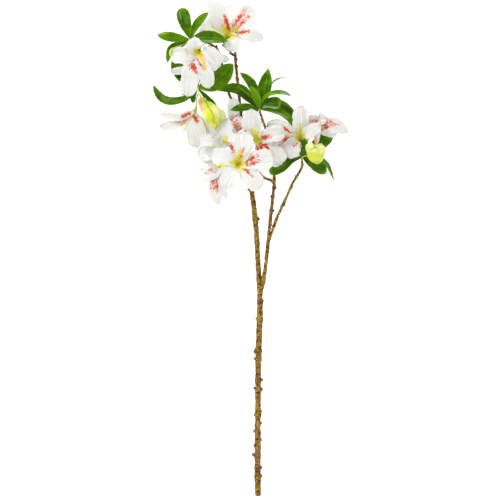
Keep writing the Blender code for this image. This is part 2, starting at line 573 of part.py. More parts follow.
def apply_boolean(obj, operation, shapes):
    """Joins the shapes to the object, or cuts them from it, in one Boolean on a collection."""
    scene_collection = bpy.context.scene.collection
    others = bpy.data.collections.new(f"{obj.name}_{operation}")
    scene_collection.children.link(others)
    for i, shape in enumerate(shapes):
        object_of(f"{obj.name}_{operation}_{i}", shape, others)
    boolean = obj.modifiers.new(operation, "BOOLEAN")
    boolean.operation = operation
    boolean.operand_type = "COLLECTION"
    boolean.collection = others
    boolean.solver = "MANIFOLD"
    bpy.context.view_layer.update()
    made = bpy.data.meshes.new_from_object(obj.evaluated_get(bpy.context.evaluated_depsgraph_get()))
    obj.modifiers.clear()
    old = obj.data
    obj.data = made
    bpy.data.meshes.remove(old)
    for other in list(others.objects):
        bpy.data.objects.remove(other, do_unlink=True)
    bpy.data.collections.remove(others)


def finish_material(name, finish):
    colour, roughness = FINISHES[finish]
    material = bpy.data.materials.new(f"{name}_{finish}")
    material.use_nodes = True
    shader = material.node_tree.nodes["Principled BSDF"]
    shader.inputs["Base Color"].default_value = colour
    shader.inputs["Roughness"].default_value = roughness
    return material


def build_node(name, shapes, cuts, finish):
    obj = object_of(name, shapes[0], bpy.context.scene.collection)
    if len(shapes) > 1:
        apply_boolean(obj, "UNION", shapes[1:])
    if cuts:
        apply_boolean(obj, "DIFFERENCE", cuts)
    obj.data.materials.clear()
    obj.data.materials.append(finish_material(name, finish))
    obj.data.shade_smooth()
    return obj


def rest_on_origin(objects):
    """Moves the branch so that the middle of its box stands over the origin and its lowest point is at 0."""
    points = np.array([vertex.co for obj in objects for vertex in obj.data.vertices])
    low, high = points.min(axis=0), points.max(axis=0)
    shift = np.array([(low[0] + high[0]) / 2, (low[1] + high[1]) / 2, low[2]])
    for obj in objects:
        for vertex in obj.data.vertices:
            vertex.co -= type(vertex.co)(shift)
    return shift


def main():
    clear_scene()
    objects = [build_node(name, *parts) for name, parts in branch_solids().items()]
    shift = rest_on_origin(objects)
    print("moved by", [round(float(value) / MM, 3) for value in shift], "mm")


if __name__ == "__main__":
    main()
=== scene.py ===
"""The dressed model of a cut branch of artificial rhododendron on a pale floor, seen from straight above.

Every limb, bloom, bud and tuft of leaves grows by the same rule as its solid, with finer petals and bark. Some
petals and leaves stand elsewhere than in their solid. Places are read on a plan, a square grid seen from above,
and heights are in millimetres over the floor.
"""

import json
import logging
import math
from dataclasses import dataclass, field
from enum import Enum
from typing import Optional

import bpy
import numpy as np
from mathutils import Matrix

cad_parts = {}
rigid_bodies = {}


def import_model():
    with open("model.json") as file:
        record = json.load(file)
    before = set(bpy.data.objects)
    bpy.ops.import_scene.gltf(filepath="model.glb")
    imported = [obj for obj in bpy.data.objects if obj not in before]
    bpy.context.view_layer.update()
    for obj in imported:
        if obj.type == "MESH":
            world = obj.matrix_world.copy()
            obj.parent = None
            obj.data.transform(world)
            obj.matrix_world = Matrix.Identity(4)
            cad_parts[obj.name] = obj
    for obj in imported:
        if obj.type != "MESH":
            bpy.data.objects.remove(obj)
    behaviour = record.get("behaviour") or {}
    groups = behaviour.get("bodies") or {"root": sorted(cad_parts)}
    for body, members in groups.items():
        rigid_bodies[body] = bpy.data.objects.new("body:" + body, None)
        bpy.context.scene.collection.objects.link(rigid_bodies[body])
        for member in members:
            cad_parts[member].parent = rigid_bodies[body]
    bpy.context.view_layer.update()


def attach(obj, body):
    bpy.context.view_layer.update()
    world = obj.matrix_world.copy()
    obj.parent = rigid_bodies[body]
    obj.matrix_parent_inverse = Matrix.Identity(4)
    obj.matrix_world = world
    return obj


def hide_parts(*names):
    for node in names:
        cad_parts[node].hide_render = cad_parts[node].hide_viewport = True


logging.basicConfig(level=logging.INFO, format="%(message)s")
LOG = logging.getLogger("branch")

MM = 0.001
Place = tuple[float, float, float]
Spot = tuple[float, float]
Lobe = tuple[float, float, float]  # where across a blade its tip reaches out, how far in mm, and how wide
Colour = tuple[float, float, float]
Vec = np.ndarray
Socket = bpy.types.NodeSocket

UP: Place = (0.0, 0.0, 1.0)
FOOT_HEIGHT, FOOT_STEP, STEM_CLIMB = 6.0, 495.5, 0.1855  # the stem's cut end in mm and steps, and its mm per step
FULL_TONE = 1.3  # the most that marks laid over each other add up to


def unit(vector: Vec) -> Vec:
    """The vector, or each row of vectors, with a length of 1."""
    vector = np.asarray(vector, float)
    return vector / np.maximum(np.linalg.norm(vector, axis=-1, keepdims=True), 1e-12)


def seed_of(name: str) -> int:
    """A fixed seed for a piece, worked out from its name."""
    return sum((i + 1) * ord(letter) for i, letter in enumerate(name))


def new_object(name: str, data: bpy.types.ID) -> bpy.types.Object:
    """Makes an object and links it to the scene.

    Args:
        name: Its name.
        data: Its mesh, light or camera.

    Returns:
        The object.
    """
    made = bpy.data.objects.new(name, data)
    bpy.context.scene.collection.objects.link(made)
    return made


def soft_step(values: Vec, low: float, high: float) -> Vec:
    """0 below low, 1 above high and a smooth rise between them."""
    share = np.clip((np.asarray(values, float) - low) / (high - low), 0.0, 1.0)
    return share * share * (3.0 - 2.0 * share)


@dataclass(frozen=True)
class Plan:
    """The square grid that places are read on, and the point it is seen from."""

    step: float = 2.05 * MM
    middle: float = 250.0
    eye: float = 4.0
    shift: Place = (1.183 * MM, -5.344 * MM, 0.49 * MM)

    def at(self, x: float, y: float, height: float) -> Vec:
        """The point over a place of the plan.

        Args:
            x: Steps to the right of the plan's left edge.
            y: Steps down from the plan's upper edge.
            height: Millimetres above the floor, before the branch is lowered onto it.

        Returns:
            The point in metres, in the frame of the branch.
        """
        shrink = (self.eye - height * MM) / self.eye
        right, up = (x - self.middle) * self.step * shrink, (self.middle - y) * self.step * shrink
        return np.array([right, up, height * MM]) - np.array(self.shift)

    def line(self, places: tuple[Place, ...]) -> list[Vec]:
        """The points over some places of the plan."""
        return [self.at(*place) for place in places]

    def spots(self, points: Vec) -> Vec:
        """The plan places that points are seen at from the eye.

        Args:
            points: Points in metres, one a row.

        Returns:
            One (x, y) place of the plan a row.
        """
        raw = points + np.array(self.shift)
        shrink = (self.eye - raw[:, 2]) / self.eye
        right, up = raw[:, 0] / (self.step * shrink), raw[:, 1] / (self.step * shrink)
        return np.stack([self.middle + right, self.middle - up], axis=1)


PLAN = Plan()


class Tone(Enum):
    """The colours that petals, leaves and buds are marked with."""

    RED = "red"
    # On leaves this tone paints dark olive shade.
    ORANGE = "orange"
    YELLOW = "yellow"
    # Painted shade on petals and buds, and painted gloss highlights on leaves.
    PAINTED_SHADE_AND_GLOSS = "grey"
    PALE = "pale"


class LeafTone(Enum):
    """How fresh a leaf's green is, from dark and full grown to new."""

    DEEP = 0.0
    FULL = 0.35
    FRESH = 0.7
    NEW = 1.0


@dataclass(frozen=True)
class Mark:
    """A stroke of colour on a petal, a leaf or a bud, between two spots of the plan."""

    REACH = 1.9
    FALL = 1.1

    tone: Tone
    start: Spot
    end: Spot
    width: float
    strength: float

    def on(self, spots: Vec) -> Vec:
        """How strongly the stroke colours each spot.

        Args:
            spots: Plan places, one a row.

        Returns:
            The strength at each of them, 0 outside the stroke.
        """
        start, end = np.array(self.start), np.array(self.end)
        run = end - start
        share = np.clip(((spots - start) @ run) / max(float(run @ run), 1e-9), 0.0, 1.0)
        away = np.linalg.norm(spots - (start + share[:, None] * run), axis=1)
        return self.strength * np.clip(1.0 - away / (self.REACH * self.width), 0.0, 1.0) ** self.FALL


@dataclass(frozen=True)
class Limb:
    """A tapering limb through its places, with knobs as (plan y, side, length in steps, radius in mm).

    Dark and red are the plan places, down the picture, of its darkest scars and of its red band.
    """

    route: tuple[Place, ...]
    foot: float
    tip: float
    knobs: tuple[tuple[float, int, float, float], ...] = ()
    dark: tuple[float, ...] = ()
    red: tuple[float, ...] = ()


@dataclass(frozen=True)
class Petal:
    """A petal from the throat over a middle place to its tip, with the waves, lobes and marks it was given."""

    middle: Place
    tip: Place
    width: float
    face: Place = UP
    swell: float = 1.15
    roundness: float = 0.4
    wave: float = 1.3
    tips: tuple[Lobe, ...] = ((0.0, 2.4, 0.3),)
    marks: tuple[Mark, ...] = ()


@dataclass(frozen=True)
class Bloom:
    """A flower: stalk places up to the calyx, the throat, petals and the tips of its long stamens.

    Glow sets how far the throat's yellow reaches, in mm, and tint how much painted shade darkens the whole flower.
    On a horned flower the long stamens are bare white threads with no anther.
    """

    stalk: tuple[Place, ...]
    calyx: Place
    throat: Place
    petals: tuple[Petal, ...]
    stamens: tuple[Place, ...] = ()
    glow: float = 9.0
    filaments: int = 4
    tint: float = 0.12
    horned: bool = False

    def axis(self) -> tuple[Vec, Vec, Vec]:
        """The calyx, the throat and the way that the flower faces."""
        calyx, throat = PLAN.at(*self.calyx), PLAN.at(*self.throat)
        return calyx, throat, unit(throat - calyx)


@dataclass(frozen=True)
class Leaf:
    """A leaf from its tuft's hub through its places, the last one the tip."""

    route: tuple[Place, ...]
    width: float
    face: Place = UP
    swell: float = 0.95
    roundness: float = 0.72
    fold: float = 0.25
    tone: LeafTone = LeafTone.FULL
    wave: float = 0.8
    marks: tuple[Mark, ...] = ()


@dataclass(frozen=True)
class Tuft:
    """Leaves that grow from one hub just past the tip of a twig."""

    carrier: str
    hub: Place
    leaves: tuple[Leaf, ...]


@dataclass(frozen=True)
class Bud:
    """A bud turned round its own route, with a radius in mm at each place.

    Straps are petals of the flower's fabric that stand on it and lips are flares of its own skin. A pouch has a
    stalk of its own and a hollow mouth, dish mm deep.
    """

    route: tuple[Place, ...]
    radii: tuple[float, ...]
    flutes: int = 5
    depth: float = 0.1
    straps: tuple[Petal, ...] = ()
    lips: tuple[Petal, ...] = ()
    stalk: tuple[Place, ...] = ()
    dish: float = 0.0
    marks: tuple[Mark, ...] = ()


def stem(x: float, y: float, lift: float = 0.0) -> Place:
    """A place on the slope that the main stem climbs, lift mm above its centre line."""
    return (x, y, FOOT_HEIGHT + (FOOT_STEP - y) * STEM_CLIMB + lift)


def strokes(**tones: list[tuple[float, ...]]) -> tuple[Mark, ...]:
    """Marks from rows of numbers.

    Args:
        **tones: For each tone, rows with a mark's start and end on the plan, its width and its strength.

    Returns:
        One mark for each row.
    """
    return tuple(Mark(Tone(tone), (x, y), (end_x, end_y), width, strength)
                 for tone, rows in tones.items() for x, y, end_x, end_y, width, strength in rows)


LIMBS: dict[str, Limb] = {
    "main_stem": Limb(
        (stem(258, 495.5), stem(257.6, 460), stem(258, 410), stem(258.5, 355), stem(259.6, 322), stem(259.8, 291),
         stem(258.2, 265), stem(255.6, 222), stem(251.6, 190), stem(243, 141)), 5.6, 4.4,
        ((476.5, 1, 2.9, 2.2), (467.5, 1, 2.2, 2.6), (455.5, -1, 9.6, 2), (446, -1, 2.2, 2.2), (440, 1, 2.1, 2.4),
         (431.5, -1, 2.6, 2.3), (423.6, 1, 3.3, 1.9), (415, -1, 2.2, 2.2), (411.5, 1, 2.4, 2),
         (389.5, 1, 2.9, 2.8), (389, -1, 3, 2), (380.5, 1, 5.6, 2), (359.2, -1, 4.4, 2), (351, -1, 3.6, 4.2),
         (319.3, -1, 2.4, 1.3), (301.5, 1, 2.7, 1.6), (219, 1, 3.8, 2.6), (190, -1, 4.2, 1.8)),
        (495.2, 479, 469, 454, 443, 436, 428, 419.6, 411, 402, 395, 388, 380, 374, 366, 354.4, 349, 340, 331, 310,
         301, 291, 283, 275.4, 268.5, 262, 257, 252, 246, 241, 236, 231, 226, 220.5, 214, 208.5, 203, 197, 191,
         186), (484, 483)),
    "right_limb": Limb(
        (stem(259.9, 296, -1), stem(263.8, 278, 3), stem(267.4, 250, 5), stem(270.3, 220, 6), stem(274.2, 182, 3),
         (274.6, 168, 66), (273, 150, 58), (264.8, 126.5, 66), (259.7, 111.5, 72)), 3.8, 1.8,
        ((281.5, 1, 2.4, 1.4), (211, 1, 2.6, 1.6), (196.5, -1, 2.0, 1.5), (187.5, 1, 2.1, 1.6)),
        (286, 268, 255, 238, 226, 208, 199, 190)),
    "right_twig": Limb(
        (stem(269.3, 240, 6), stem(276, 220, 8), stem(285.6, 199, 8), stem(294.5, 180, 4), stem(300.6, 170),
         stem(302.4, 165), (301.6, 160.5, 66)), 2.75, 1.8,
        ((226, -1, 1.9, 1.2), (205, 1, 1.9, 1.2), (187.5, 1, 2.2, 1.4), (176, -1, 1.8, 1.2)),
        (228, 199, 188, 176)),
    "side_twig": Limb(
        (stem(274.1, 184, 3), (271.6, 180.8, 70), (263.8, 177.4, 76), (257.6, 171, 81), (252, 166, 86)),
        2.4, 2.0),
    "tall_twig": Limb(
        ((243.1, 142.5, 71.7), (240.4, 113, 76), (238.9, 94, 74), (237.2, 77, 68), (235.8, 65, 66),
         (235.3, 52, 65)), 2.8, 2.0,
        ((129, -1, 1.8, 1.2), (112, 1, 1.9, 1.2), (88, -1, 1.8, 1.2), (79, 1, 1.7, 1.1), (66.4, 1, 1.9, 1.3),
         (59.4, 1, 1.9, 1.2), (54.6, -1, 19.0, 1.4)),
        (120, 97, 84, 72, 63, 57)),
    "left_twig": Limb(
        ((241.6, 124, 74.4), (239.8, 113.4, 68), (229.4, 95, 56), (222, 64, 52), (218.6, 52, 60), (214.5, 47, 66),
         (207, 42.6, 72), (192.4, 39.6, 76)), 2.2, 1.9,
        ((104, -1, 1.7, 1.1), (82, 1, 1.7, 1.1), (56, 1, 2.0, 1.4)), (100, 88, 70, 57)),
    "left_stub": Limb(((217.9, 50.6, 61), (216.4, 45.2, 63)), 1.9, 1.5),
    "drooping_twig": Limb(((223.3, 69, 51.5), (214, 75, 50), (200.5, 78.8, 52), (197.9, 85.2, 56)), 1.4, 1.2),
}

# On the petals below, the shade-and-gloss marks are painted shade in folds, in hollows and on petals that lie
# under or behind others.
BLOOMS: dict[str, Bloom] = {
    "bloom_top": Bloom(
        ((235.9, 55.6, 65), (231, 52.3, 62), (227, 49.5, 58)), (222.5, 46, 58),
        (230.2, 34.5, 80),
        (Petal((220.6, 20, 92), (219.6, 5, 88), 50, (0.1, -0.1, 1), 0.8, 0.02, wave=0.7,
               tips=((-0.98, 5, 0.05), (0.98, 5, 0.05), (-0.2, 5, 0.5)), marks=strokes(
             red=[(224.4, 15.5, 226.6, 22, 1.4, 1.2), (226, 20, 228.8, 29, 1.5, 1.7)],
             orange=[(222.5, 21, 226.5, 29, 2.2, 0.7)], yellow=[(223, 27, 230, 34, 2.6, 0.8)],
             grey=[(214, 14, 224, 14, 9, 0.3)])),
         Petal((241.4, 20.4, 92), (253.8, 11.6, 94), 42, (-0.1, 0.1, 1), 1.15, 0.24, wave=1.2, marks=strokes(
             red=[(233.8, 25.6, 239.6, 17, 1.6, 1.25), (239.5, 17, 244.8, 9.8, 1.5, 0.9),
                  (236.8, 28.5, 242.6, 22.4, 1.4, 1.2), (242.4, 22.2, 248.5, 16.6, 1.5, 0.85),
                  (239, 21, 244, 15, 1.8, 0.4)], grey=[(246, 14, 250, 20, 7, 0.3)],
             yellow=[(230, 34, 236.5, 28.5, 2.6, 1)])),
         Petal((246, 35, 90), (263, 38.2, 90), 26, (0, 0.1, 1), marks=strokes(
             red=[(236, 32.8, 242, 32.2, 1.5, 0.9), (241, 32.2, 248.3, 31.4, 1.6, 1.2)],
             yellow=[(231, 34.5, 237, 35, 2, 0.6)], grey=[(252, 37, 262, 37, 6, 0.25)])),
         Petal((232.5, 43, 96), (232, 50.8, 94), 32, (0, -0.1, 1)),
         Petal((212, 25, 90), (196.6, 37.2, 84), 37, (0.1, 0.1, 1), 0.7, 1.1, wave=0.9, marks=strokes(
             yellow=[(203, 25.2, 205.5, 26, 1.2, 0.5), (214, 29, 224, 33, 2.4, 0.5)],
             orange=[(198, 35, 204, 28, 1.8, 0.5)], grey=[(212.5, 17, 213.5, 27, 1.7, 0.9)]))),
        ((222.5, 25.5, 98), (236, 26, 98), (238, 35.5, 98), (232, 24, 98), (223, 31, 98), (227, 41, 98)),
        glow=18.5, filaments=7, tint=0.25),
    "bloom_upper_left": Bloom(
        ((207.5, 42.8, 71.6), (205, 43.6, 76)), (201, 46.6, 82), (197, 53, 104),
        (Petal((195, 46, 116), (194.6, 37, 112), 34, (0, -0.1, 1), 0.8, 0.62, wave=1.2, marks=strokes(
             grey=[(196, 48, 196, 42, 2, 0.3)], yellow=[(197, 53, 199, 48.5, 1.2, 0.8)])),
         Petal((184, 55.2, 112), (172.8, 55.2, 106), 34, UP, 0.8, 0.25, marks=strokes(
             orange=[(186.8, 50.5, 187.2, 57, 1.7, 0.55)], grey=[(175, 50, 184, 49, 2.5, 0.4)])),
         Petal((191, 74, 115), (187.3, 96, 104), 38, UP, 0.8, wave=1.8, marks=strokes(
             red=[(193.2, 60.4, 193.8, 67, 1.5, 0.95), (189.8, 64.6, 194.6, 68, 1.9, 0.85),
                  (193.4, 67, 196.9, 72.6, 1.7, 0.95), (190.5, 68.5, 194, 72.5, 1.6, 0.45)])),
         Petal((204.5, 70, 114), (209.4, 87.4, 108), 31, (0.1, 0, 1), marks=strokes(
             red=[(197.4, 58.4, 200.6, 64, 1.4, 1.1), (200.6, 64, 203.6, 69.4, 1.2, 0.85)],
             yellow=[(200.2, 56, 205.2, 69.6, 1.2, 0.85)], orange=[(200, 57, 205.4, 69, 1.8, 0.8)])),
         Petal((208.2, 56.8, 111), (219.8, 65.4, 104), 43, UP, 0.7, 0.25, wave=1.2, marks=strokes(
             yellow=[(196, 52, 202.5, 56, 1.6, 0.9), (199.8, 56, 204.6, 67, 1.2, 0.8)],
             orange=[(200.6, 54, 206, 64, 2.8, 0.75)], grey=[(208, 52, 214, 58, 2, 0.3)]))),
        ((194.6, 50.6, 116), (199.6, 51.4, 116)), glow=12.5, tint=0.2),
    "bloom_upper_left_back": Bloom(
        ((214.1, 46.8, 66.4), (211, 50, 66)), (208, 54, 62), (199, 62.5, 54),
        (Petal((216, 58, 80), (228.6, 59.2, 92), 20, (-0.2, -0.2, 1)),
         Petal((185, 69.5, 74), (171, 71.6, 78), 16, (0, 0.1, -1)),
         Petal((209, 52, 50), (216, 47, 46), 24, (0.2, 0.5, -1)),
         Petal((190.6, 56.4, 39), (181, 54, 23), 32, (-0.6, 0.4, -0.6)),
         Petal((204, 72, 28), (207, 79, 1.6), 32, (0.5, -0.7, -0.3), 1.15, wave=0.6, tips=()))),
    "bloom_left_hanging": Bloom(
        ((197.6, 88, 58), (198.2, 92, 54), (196.6, 99, 54)), (196.3, 107, 56),
        (193.8, 113.6, 62),
        (Petal((177.6, 117.4, 72), (161.2, 114.4, 66), 17, (0, 0.3, 1), 0.6, marks=strokes(
             red=[(182.6, 116.8, 189.4, 113.4, 1.7, 1.4)], grey=[(162, 113, 184, 115, 5, 0.3)],
             yellow=[(187, 110.6, 195, 109, 1.6, 0.45)])),
         Petal((176, 124.8, 68), (160.4, 126.4, 62), 20, (0, 0.2, 1), 0.8, marks=strokes(
             grey=[(162, 126, 178, 126, 5, 0.3)], orange=[(177, 121.5, 187, 119.8, 1.8, 0.7)],
             yellow=[(180, 126.4, 189, 120, 1.4, 0.6)],
             red=[(177, 121, 185, 121, 1.5, 0.7), (181, 125, 186, 123, 1.2, 0.7)])),
         Petal((197, 133, 70), (198, 147, 64), 43, (0, -0.1, 1), 1.15, wave=1, marks=strokes(
             red=[(192.6, 112.8, 196.9, 120.8, 1.9, 1.6)], yellow=[(193, 113, 203, 120, 1.6, 0.4)],
             grey=[(203, 131, 206, 139, 2, 0.3)])),
         Petal((207, 130, 62), (217, 143, 60), 34, (0.1, 0, 1), 1.15, wave=1.2, marks=strokes(
             yellow=[(197, 118, 207, 127, 2.2, 0.6), (196, 124, 199, 133, 1.6, 0.35)])),
         Petal((191, 124, 32), (190, 132, 3), 34, (-0.3, 0.9, 0))), ((180, 136.5, 74),), glow=4.5,
        filaments=1, tint=0.2),
    "bloom_left": Bloom(
        ((244.4, 148, 70), (240, 148, 67)), (237, 147, 66), (224, 143, 78),
        (Petal((225.8, 133, 84), (226.2, 119, 80), 29, (-0.1, 0, 1), marks=strokes(
             yellow=[(223.4, 144, 225, 137, 1.3, 0.7), (226.6, 143, 226.8, 137, 1.1, 0.6)])),
         Petal((219.8, 134, 70), (219.8, 120.5, 56), 22, (-0.9, 0, 0.45)),
         Petal((212, 140.5, 86), (199.5, 141.5, 84), 28, (0, 0.3, 0.95), marks=strokes(
             yellow=[(211, 146, 220, 145.6, 1.3, 0.45)])),
         Petal((212, 150.5, 78), (198.5, 154, 66), 34, (-0.1, -0.1, 0.95), 0.8, 0.25, wave=1.8, marks=strokes(
             grey=[(206, 151, 212, 158, 1.6, 0.7)])),
         Petal((219, 150, 58), (213, 158, 40), 30, (-0.6, -0.3, 0.4), marks=strokes(
             yellow=[(211, 152, 216, 158, 1.4, 0.3)]))), ((213, 137, 92),), glow=3, filaments=0, tint=0.06),
    "bloom_front": Bloom(
        ((245.4, 154, 69.3), (243.2, 156, 76)), (240.4, 160.5, 86), (238.3, 164, 116),
        (Petal((226.5, 158.5, 125), (211.8, 154, 124), 36, (0.1, -0.1, 1), 1.15, wave=1, marks=strokes(
             yellow=[(230, 162.5, 237, 164, 1.7, 0.8), (221, 164.8, 226.6, 166.6, 1.3, 1)])),
         Petal((241, 148, 129), (241.5, 133, 131), 49, (0, 0.1, 1), 1.15, 0.32, wave=1.5,
               tips=((-0.35, 2, 0.3), (0.55, 2.6, 0.25)), marks=strokes(
             red=[(229.8, 143, 231.4, 147.4, 1.5, 0.9), (231, 146.6, 233.4, 151.6, 1.5, 1.1),
                  (241, 157, 242.8, 148.8, 1.5, 0.95)], orange=[(240.6, 158, 242.4, 150, 1.7, 0.6)],
             yellow=[(238, 163, 240.4, 154, 2.2, 0.9), (236, 160, 233.4, 155, 1.3, 0.6)])),
         Petal((256, 160.5, 125), (272.3, 158, 123), 42, (-0.1, 0, 1), 1.15, 0.3, wave=1.2, marks=strokes(
             red=[(246.4, 161.6, 252.2, 158.2, 1.5, 1.15), (252.2, 158.2, 257.6, 155.4, 1.5, 0.75),
                  (247.6, 164.8, 253.4, 163.4, 1.5, 1.15), (253.4, 163.4, 258.6, 161.4, 1.4, 0.7),
                  (253, 161, 261, 159.6, 2.2, 0.35)], yellow=[(239, 164, 246, 162.6, 2, 0.9)])),
         Petal((249.8, 175, 122), (259.4, 188.8, 116), 38, (0, 0.1, 1), 0.8, 0.3, marks=strokes(
             red=[(243.8, 167.8, 248, 172.2, 1.3, 1.1), (247.6, 171.6, 252.4, 176.4, 1.5, 0.75)],
             yellow=[(239, 165, 243.6, 170.6, 1.7, 0.9)])),
         Petal((231.2, 174, 122), (226.8, 187.3, 117), 37, (0, 0.1, 1), 0.6, 0.32, wave=1.1, marks=strokes(
             yellow=[(237.6, 166, 236.6, 170, 1.7, 0.8)]))),
        ((233, 149, 142), (238.5, 150.5, 143), (244.4, 149.6, 143), (250.5, 149, 142), (247, 154, 142),
         (231, 162, 136)), glow=13.5, filaments=7, tint=0),
    "bloom_right_centre": Bloom(
        ((243.9, 144.6, 71), (244.8, 145.4, 74)), (247.5, 146, 78), (256.5, 139, 98),
        (Petal((252, 126, 107), (251, 109.8, 108), 38, (0, -0.1, 1), 0.8, marks=strokes(
             yellow=[(254.4, 137, 252, 130.6, 2.2, 1.1), (257, 136, 258, 131, 1.2, 0.8)],
             grey=[(255, 117, 256.6, 127, 1.6, 0.4)])),
         Petal((270, 134.8, 107), (284, 132, 108), 33, (0, 0.1, 1), 0.8, 0.25, wave=1.6, marks=strokes(
             red=[(261, 138.2, 265.4, 137.6, 1.8, 1.4), (265, 136.8, 270.2, 136.4, 1.9, 0.95)],
             grey=[(268, 128, 284, 134, 5, 0.2)])),
         Petal((270, 150, 98), (281.5, 163.5, 92), 39, (-0.1, 0.1, 1), 1.15, 0.3, wave=1.9, marks=strokes(
             red=[(259.6, 143.6, 262, 149.6, 1.5, 1.9), (264, 143.4, 267.6, 149, 1.7, 1.9),
                  (271, 151, 273.6, 157, 1.4, 0.35)], orange=[(258.6, 141, 262, 145, 1.4, 0.7)],
             grey=[(268, 146, 276, 156, 4, 0.2)])),
         Petal((260.6, 151, 90), (262, 163, 80), 28, (0.2, -0.2, 1), marks=strokes(
             red=[(257.2, 144, 258.4, 151, 1.3, 1.5)], yellow=[(256, 140, 260, 147, 1, 1)])),
         Petal((247, 131.2, 107), (237, 137, 110), 14, (-0.2, 0.3, 1), 1.15, wave=0.5, marks=strokes(
             red=[(243.6, 132.2, 248.4, 128.6, 1.1, 1.1)]))),
        ((251.4, 131.5, 112), (252.8, 133.8, 114), (258.5, 132.5, 112), (254.6, 131, 110), (261.4, 146, 108),
         (258, 148, 108), (260.2, 143, 112)), glow=15, filaments=5, tint=0.2),
    "bloom_back": Bloom(
        ((243.6, 144, 70), (242.4, 142, 62)), (241, 139, 58), (238, 132, 56),
        (Petal((234.3, 117, 76), (233.8, 98.5, 80), 26, (0, 0.1, 1), 1.15, wave=1.4, marks=strokes(
             red=[(231, 120.4, 233.6, 116.6, 1.5, 0.75), (233.6, 120, 237.4, 115.2, 1.5, 0.75)],
             grey=[(230, 101, 231, 116, 1.8, 0.5)])),
         Petal((238.4, 124.6, 88), (240.6, 117.4, 86), 27, (0, 0.1, 1), 0.8, 0.35, marks=strokes(
             red=[(233.4, 123.4, 236, 129, 1.4, 0.95), (236.4, 122.6, 238.4, 130, 1.4, 0.95),
                  (239.2, 124, 241.6, 129, 1.3, 0.9), (233, 120.6, 237, 120.6, 1.4, 0.4)])),
         Petal((232, 128, 42), (231, 124, 14), 30, (-0.3, 0.9, 0.2)),
         Petal((243, 134, 38), (248, 130, 10), 30, (0.5, 0.8, 0.2)),
         Petal((237, 140, 30), (238, 146, 8), 30, (0, -0.9, 0))), glow=7, filaments=0, tint=0.05),
    "bloom_lower_left": Bloom(
        ((246, 152.4, 69.5), (241, 153.5, 63)), (237, 156, 60), (220, 167, 72),
        (Petal((210.2, 172.6, 84), (200.2, 172.2, 80), 39, (0.1, 0.2, 1), 0.9, 0.12, wave=1.4, marks=strokes(
             red=[(205.6, 173.2, 210.6, 170.4, 1.6, 0.65), (211, 169.6, 215.8, 171.2, 1.6, 0.6)],
             orange=[(210, 169, 215.6, 168.8, 1.6, 0.6)])),
         Petal((215.4, 184, 84), (218.8, 204, 74), 29, (0.1, -0.2, 1), 1.15, 0.6, wave=1.6, marks=strokes(
             red=[(214, 178.4, 217.4, 176.6, 1.3, 1.1), (212.6, 180.4, 212.2, 188.6, 1.7, 0.75),
                  (216.8, 181.4, 218.6, 187, 1.5, 1.15), (213.6, 182, 216.4, 186.4, 1.3, 0.6),
                  (215.4, 187.4, 217.8, 191.6, 1.3, 0.85)], orange=[(217, 173, 218.6, 180, 1.4, 0.35)])),
         Petal((222.2, 182, 84), (226.6, 199, 80), 18, (0.1, -0.2, 1), 0.8, 0.6),
         Petal((209, 161, 58), (203, 157, 40), 26, (-0.2, 0.5, 0.6)),
         Petal((214, 175, 48), (207, 180, 22), 30, (-0.7, -0.3, 0.3))), ((209, 165, 90),), filaments=3,
        tint=0.06),
    "bloom_right": Bloom(
        ((302.3, 157, 68), (299.2, 154.4, 66)), (301.8, 147.5, 66), (299.5, 137, 86),
        (Petal((300.6, 122, 98), (301, 106.2, 98), 34, (0, -0.1, 1), 0.8, marks=strokes(
             yellow=[(299.4, 134, 300, 126, 1.7, 0.65)], grey=[(304, 110, 305, 124, 1.8, 0.5)])),
         Petal((284, 128, 92), (267.5, 126.5, 82), 30, (0, 0.1, 1), 1.15, wave=1.8, marks=strokes(
             red=[(282.2, 126.8, 286.6, 129.8, 1.4, 0.85), (285, 128.4, 289, 132.2, 1.4, 0.95),
                  (289.4, 131.6, 294.4, 135.4, 1.2, 0.6)], orange=[(290, 134, 295, 137, 1.5, 0.5)],
             grey=[(268, 124, 288, 121, 3, 0.4)])),
         Petal((285.5, 141, 92), (273, 144, 84), 27, wave=1.2, marks=strokes(
             red=[(285.4, 138.6, 292.8, 138.4, 1.7, 1.15), (279, 140.4, 286, 139, 1.7, 0.75),
                  (284.4, 142.4, 290, 140.4, 1.4, 1), (279.6, 145, 285, 142.6, 1.5, 0.7)])),
         Petal((292, 147.5, 92), (290, 157.6, 84), 37, UP, 0.8, 0.25, wave=1.4, marks=strokes(
             red=[(294.4, 145.4, 298.8, 140.8, 1.7, 0.95)], grey=[(283, 151, 286, 156, 2, 0.9)])),
         Petal((310.6, 131.2, 108), (319.8, 125.8, 112), 26, UP, 1, marks=strokes(
             yellow=[(300.6, 136, 304, 134.6, 1.6, 0.8)]))),
        ((282, 132.5, 116), (300.5, 124, 112), (303, 127, 112), (296, 128.5, 112), (291.5, 133, 114)),
        glow=14, filaments=7, tint=0.22),
    "bloom_far_right": Bloom(
        ((302.3, 157, 68), (302.6, 155, 58), (303.4, 150, 52)), (305, 143, 52),
        (315.5, 127, 64),
        (Petal((330, 125, 80), (347.8, 131.9, 72), 32, (0, 0.1, 1), 1, 0.62, wave=1.4, marks=strokes(
             red=[(320.6, 126.4, 324.8, 124, 1.4, 1.1), (324.6, 124, 331, 121.2, 1.6, 0.8),
                  (320.6, 130, 327, 127.4, 1.4, 1.1), (327, 127.2, 333.6, 124.8, 1.5, 0.75),
                  (331, 123, 338.2, 124.4, 1.5, 0.45)], yellow=[(317, 124, 320, 128, 1.6, 0.9)])),
         Petal((320, 120, 84), (327, 119, 82), 23, (0.1, 0.2, 1)),
         Petal((311.4, 119.4, 92), (308, 117.4, 94), 22, (-0.1, 0.2, 1), marks=strokes(
             red=[(310.4, 121, 316, 121.4, 1.7, 1.1)], orange=[(307.6, 120, 311, 122, 1.6, 0.5)],
             grey=[(311, 118, 318, 118, 2, 0.3)])),
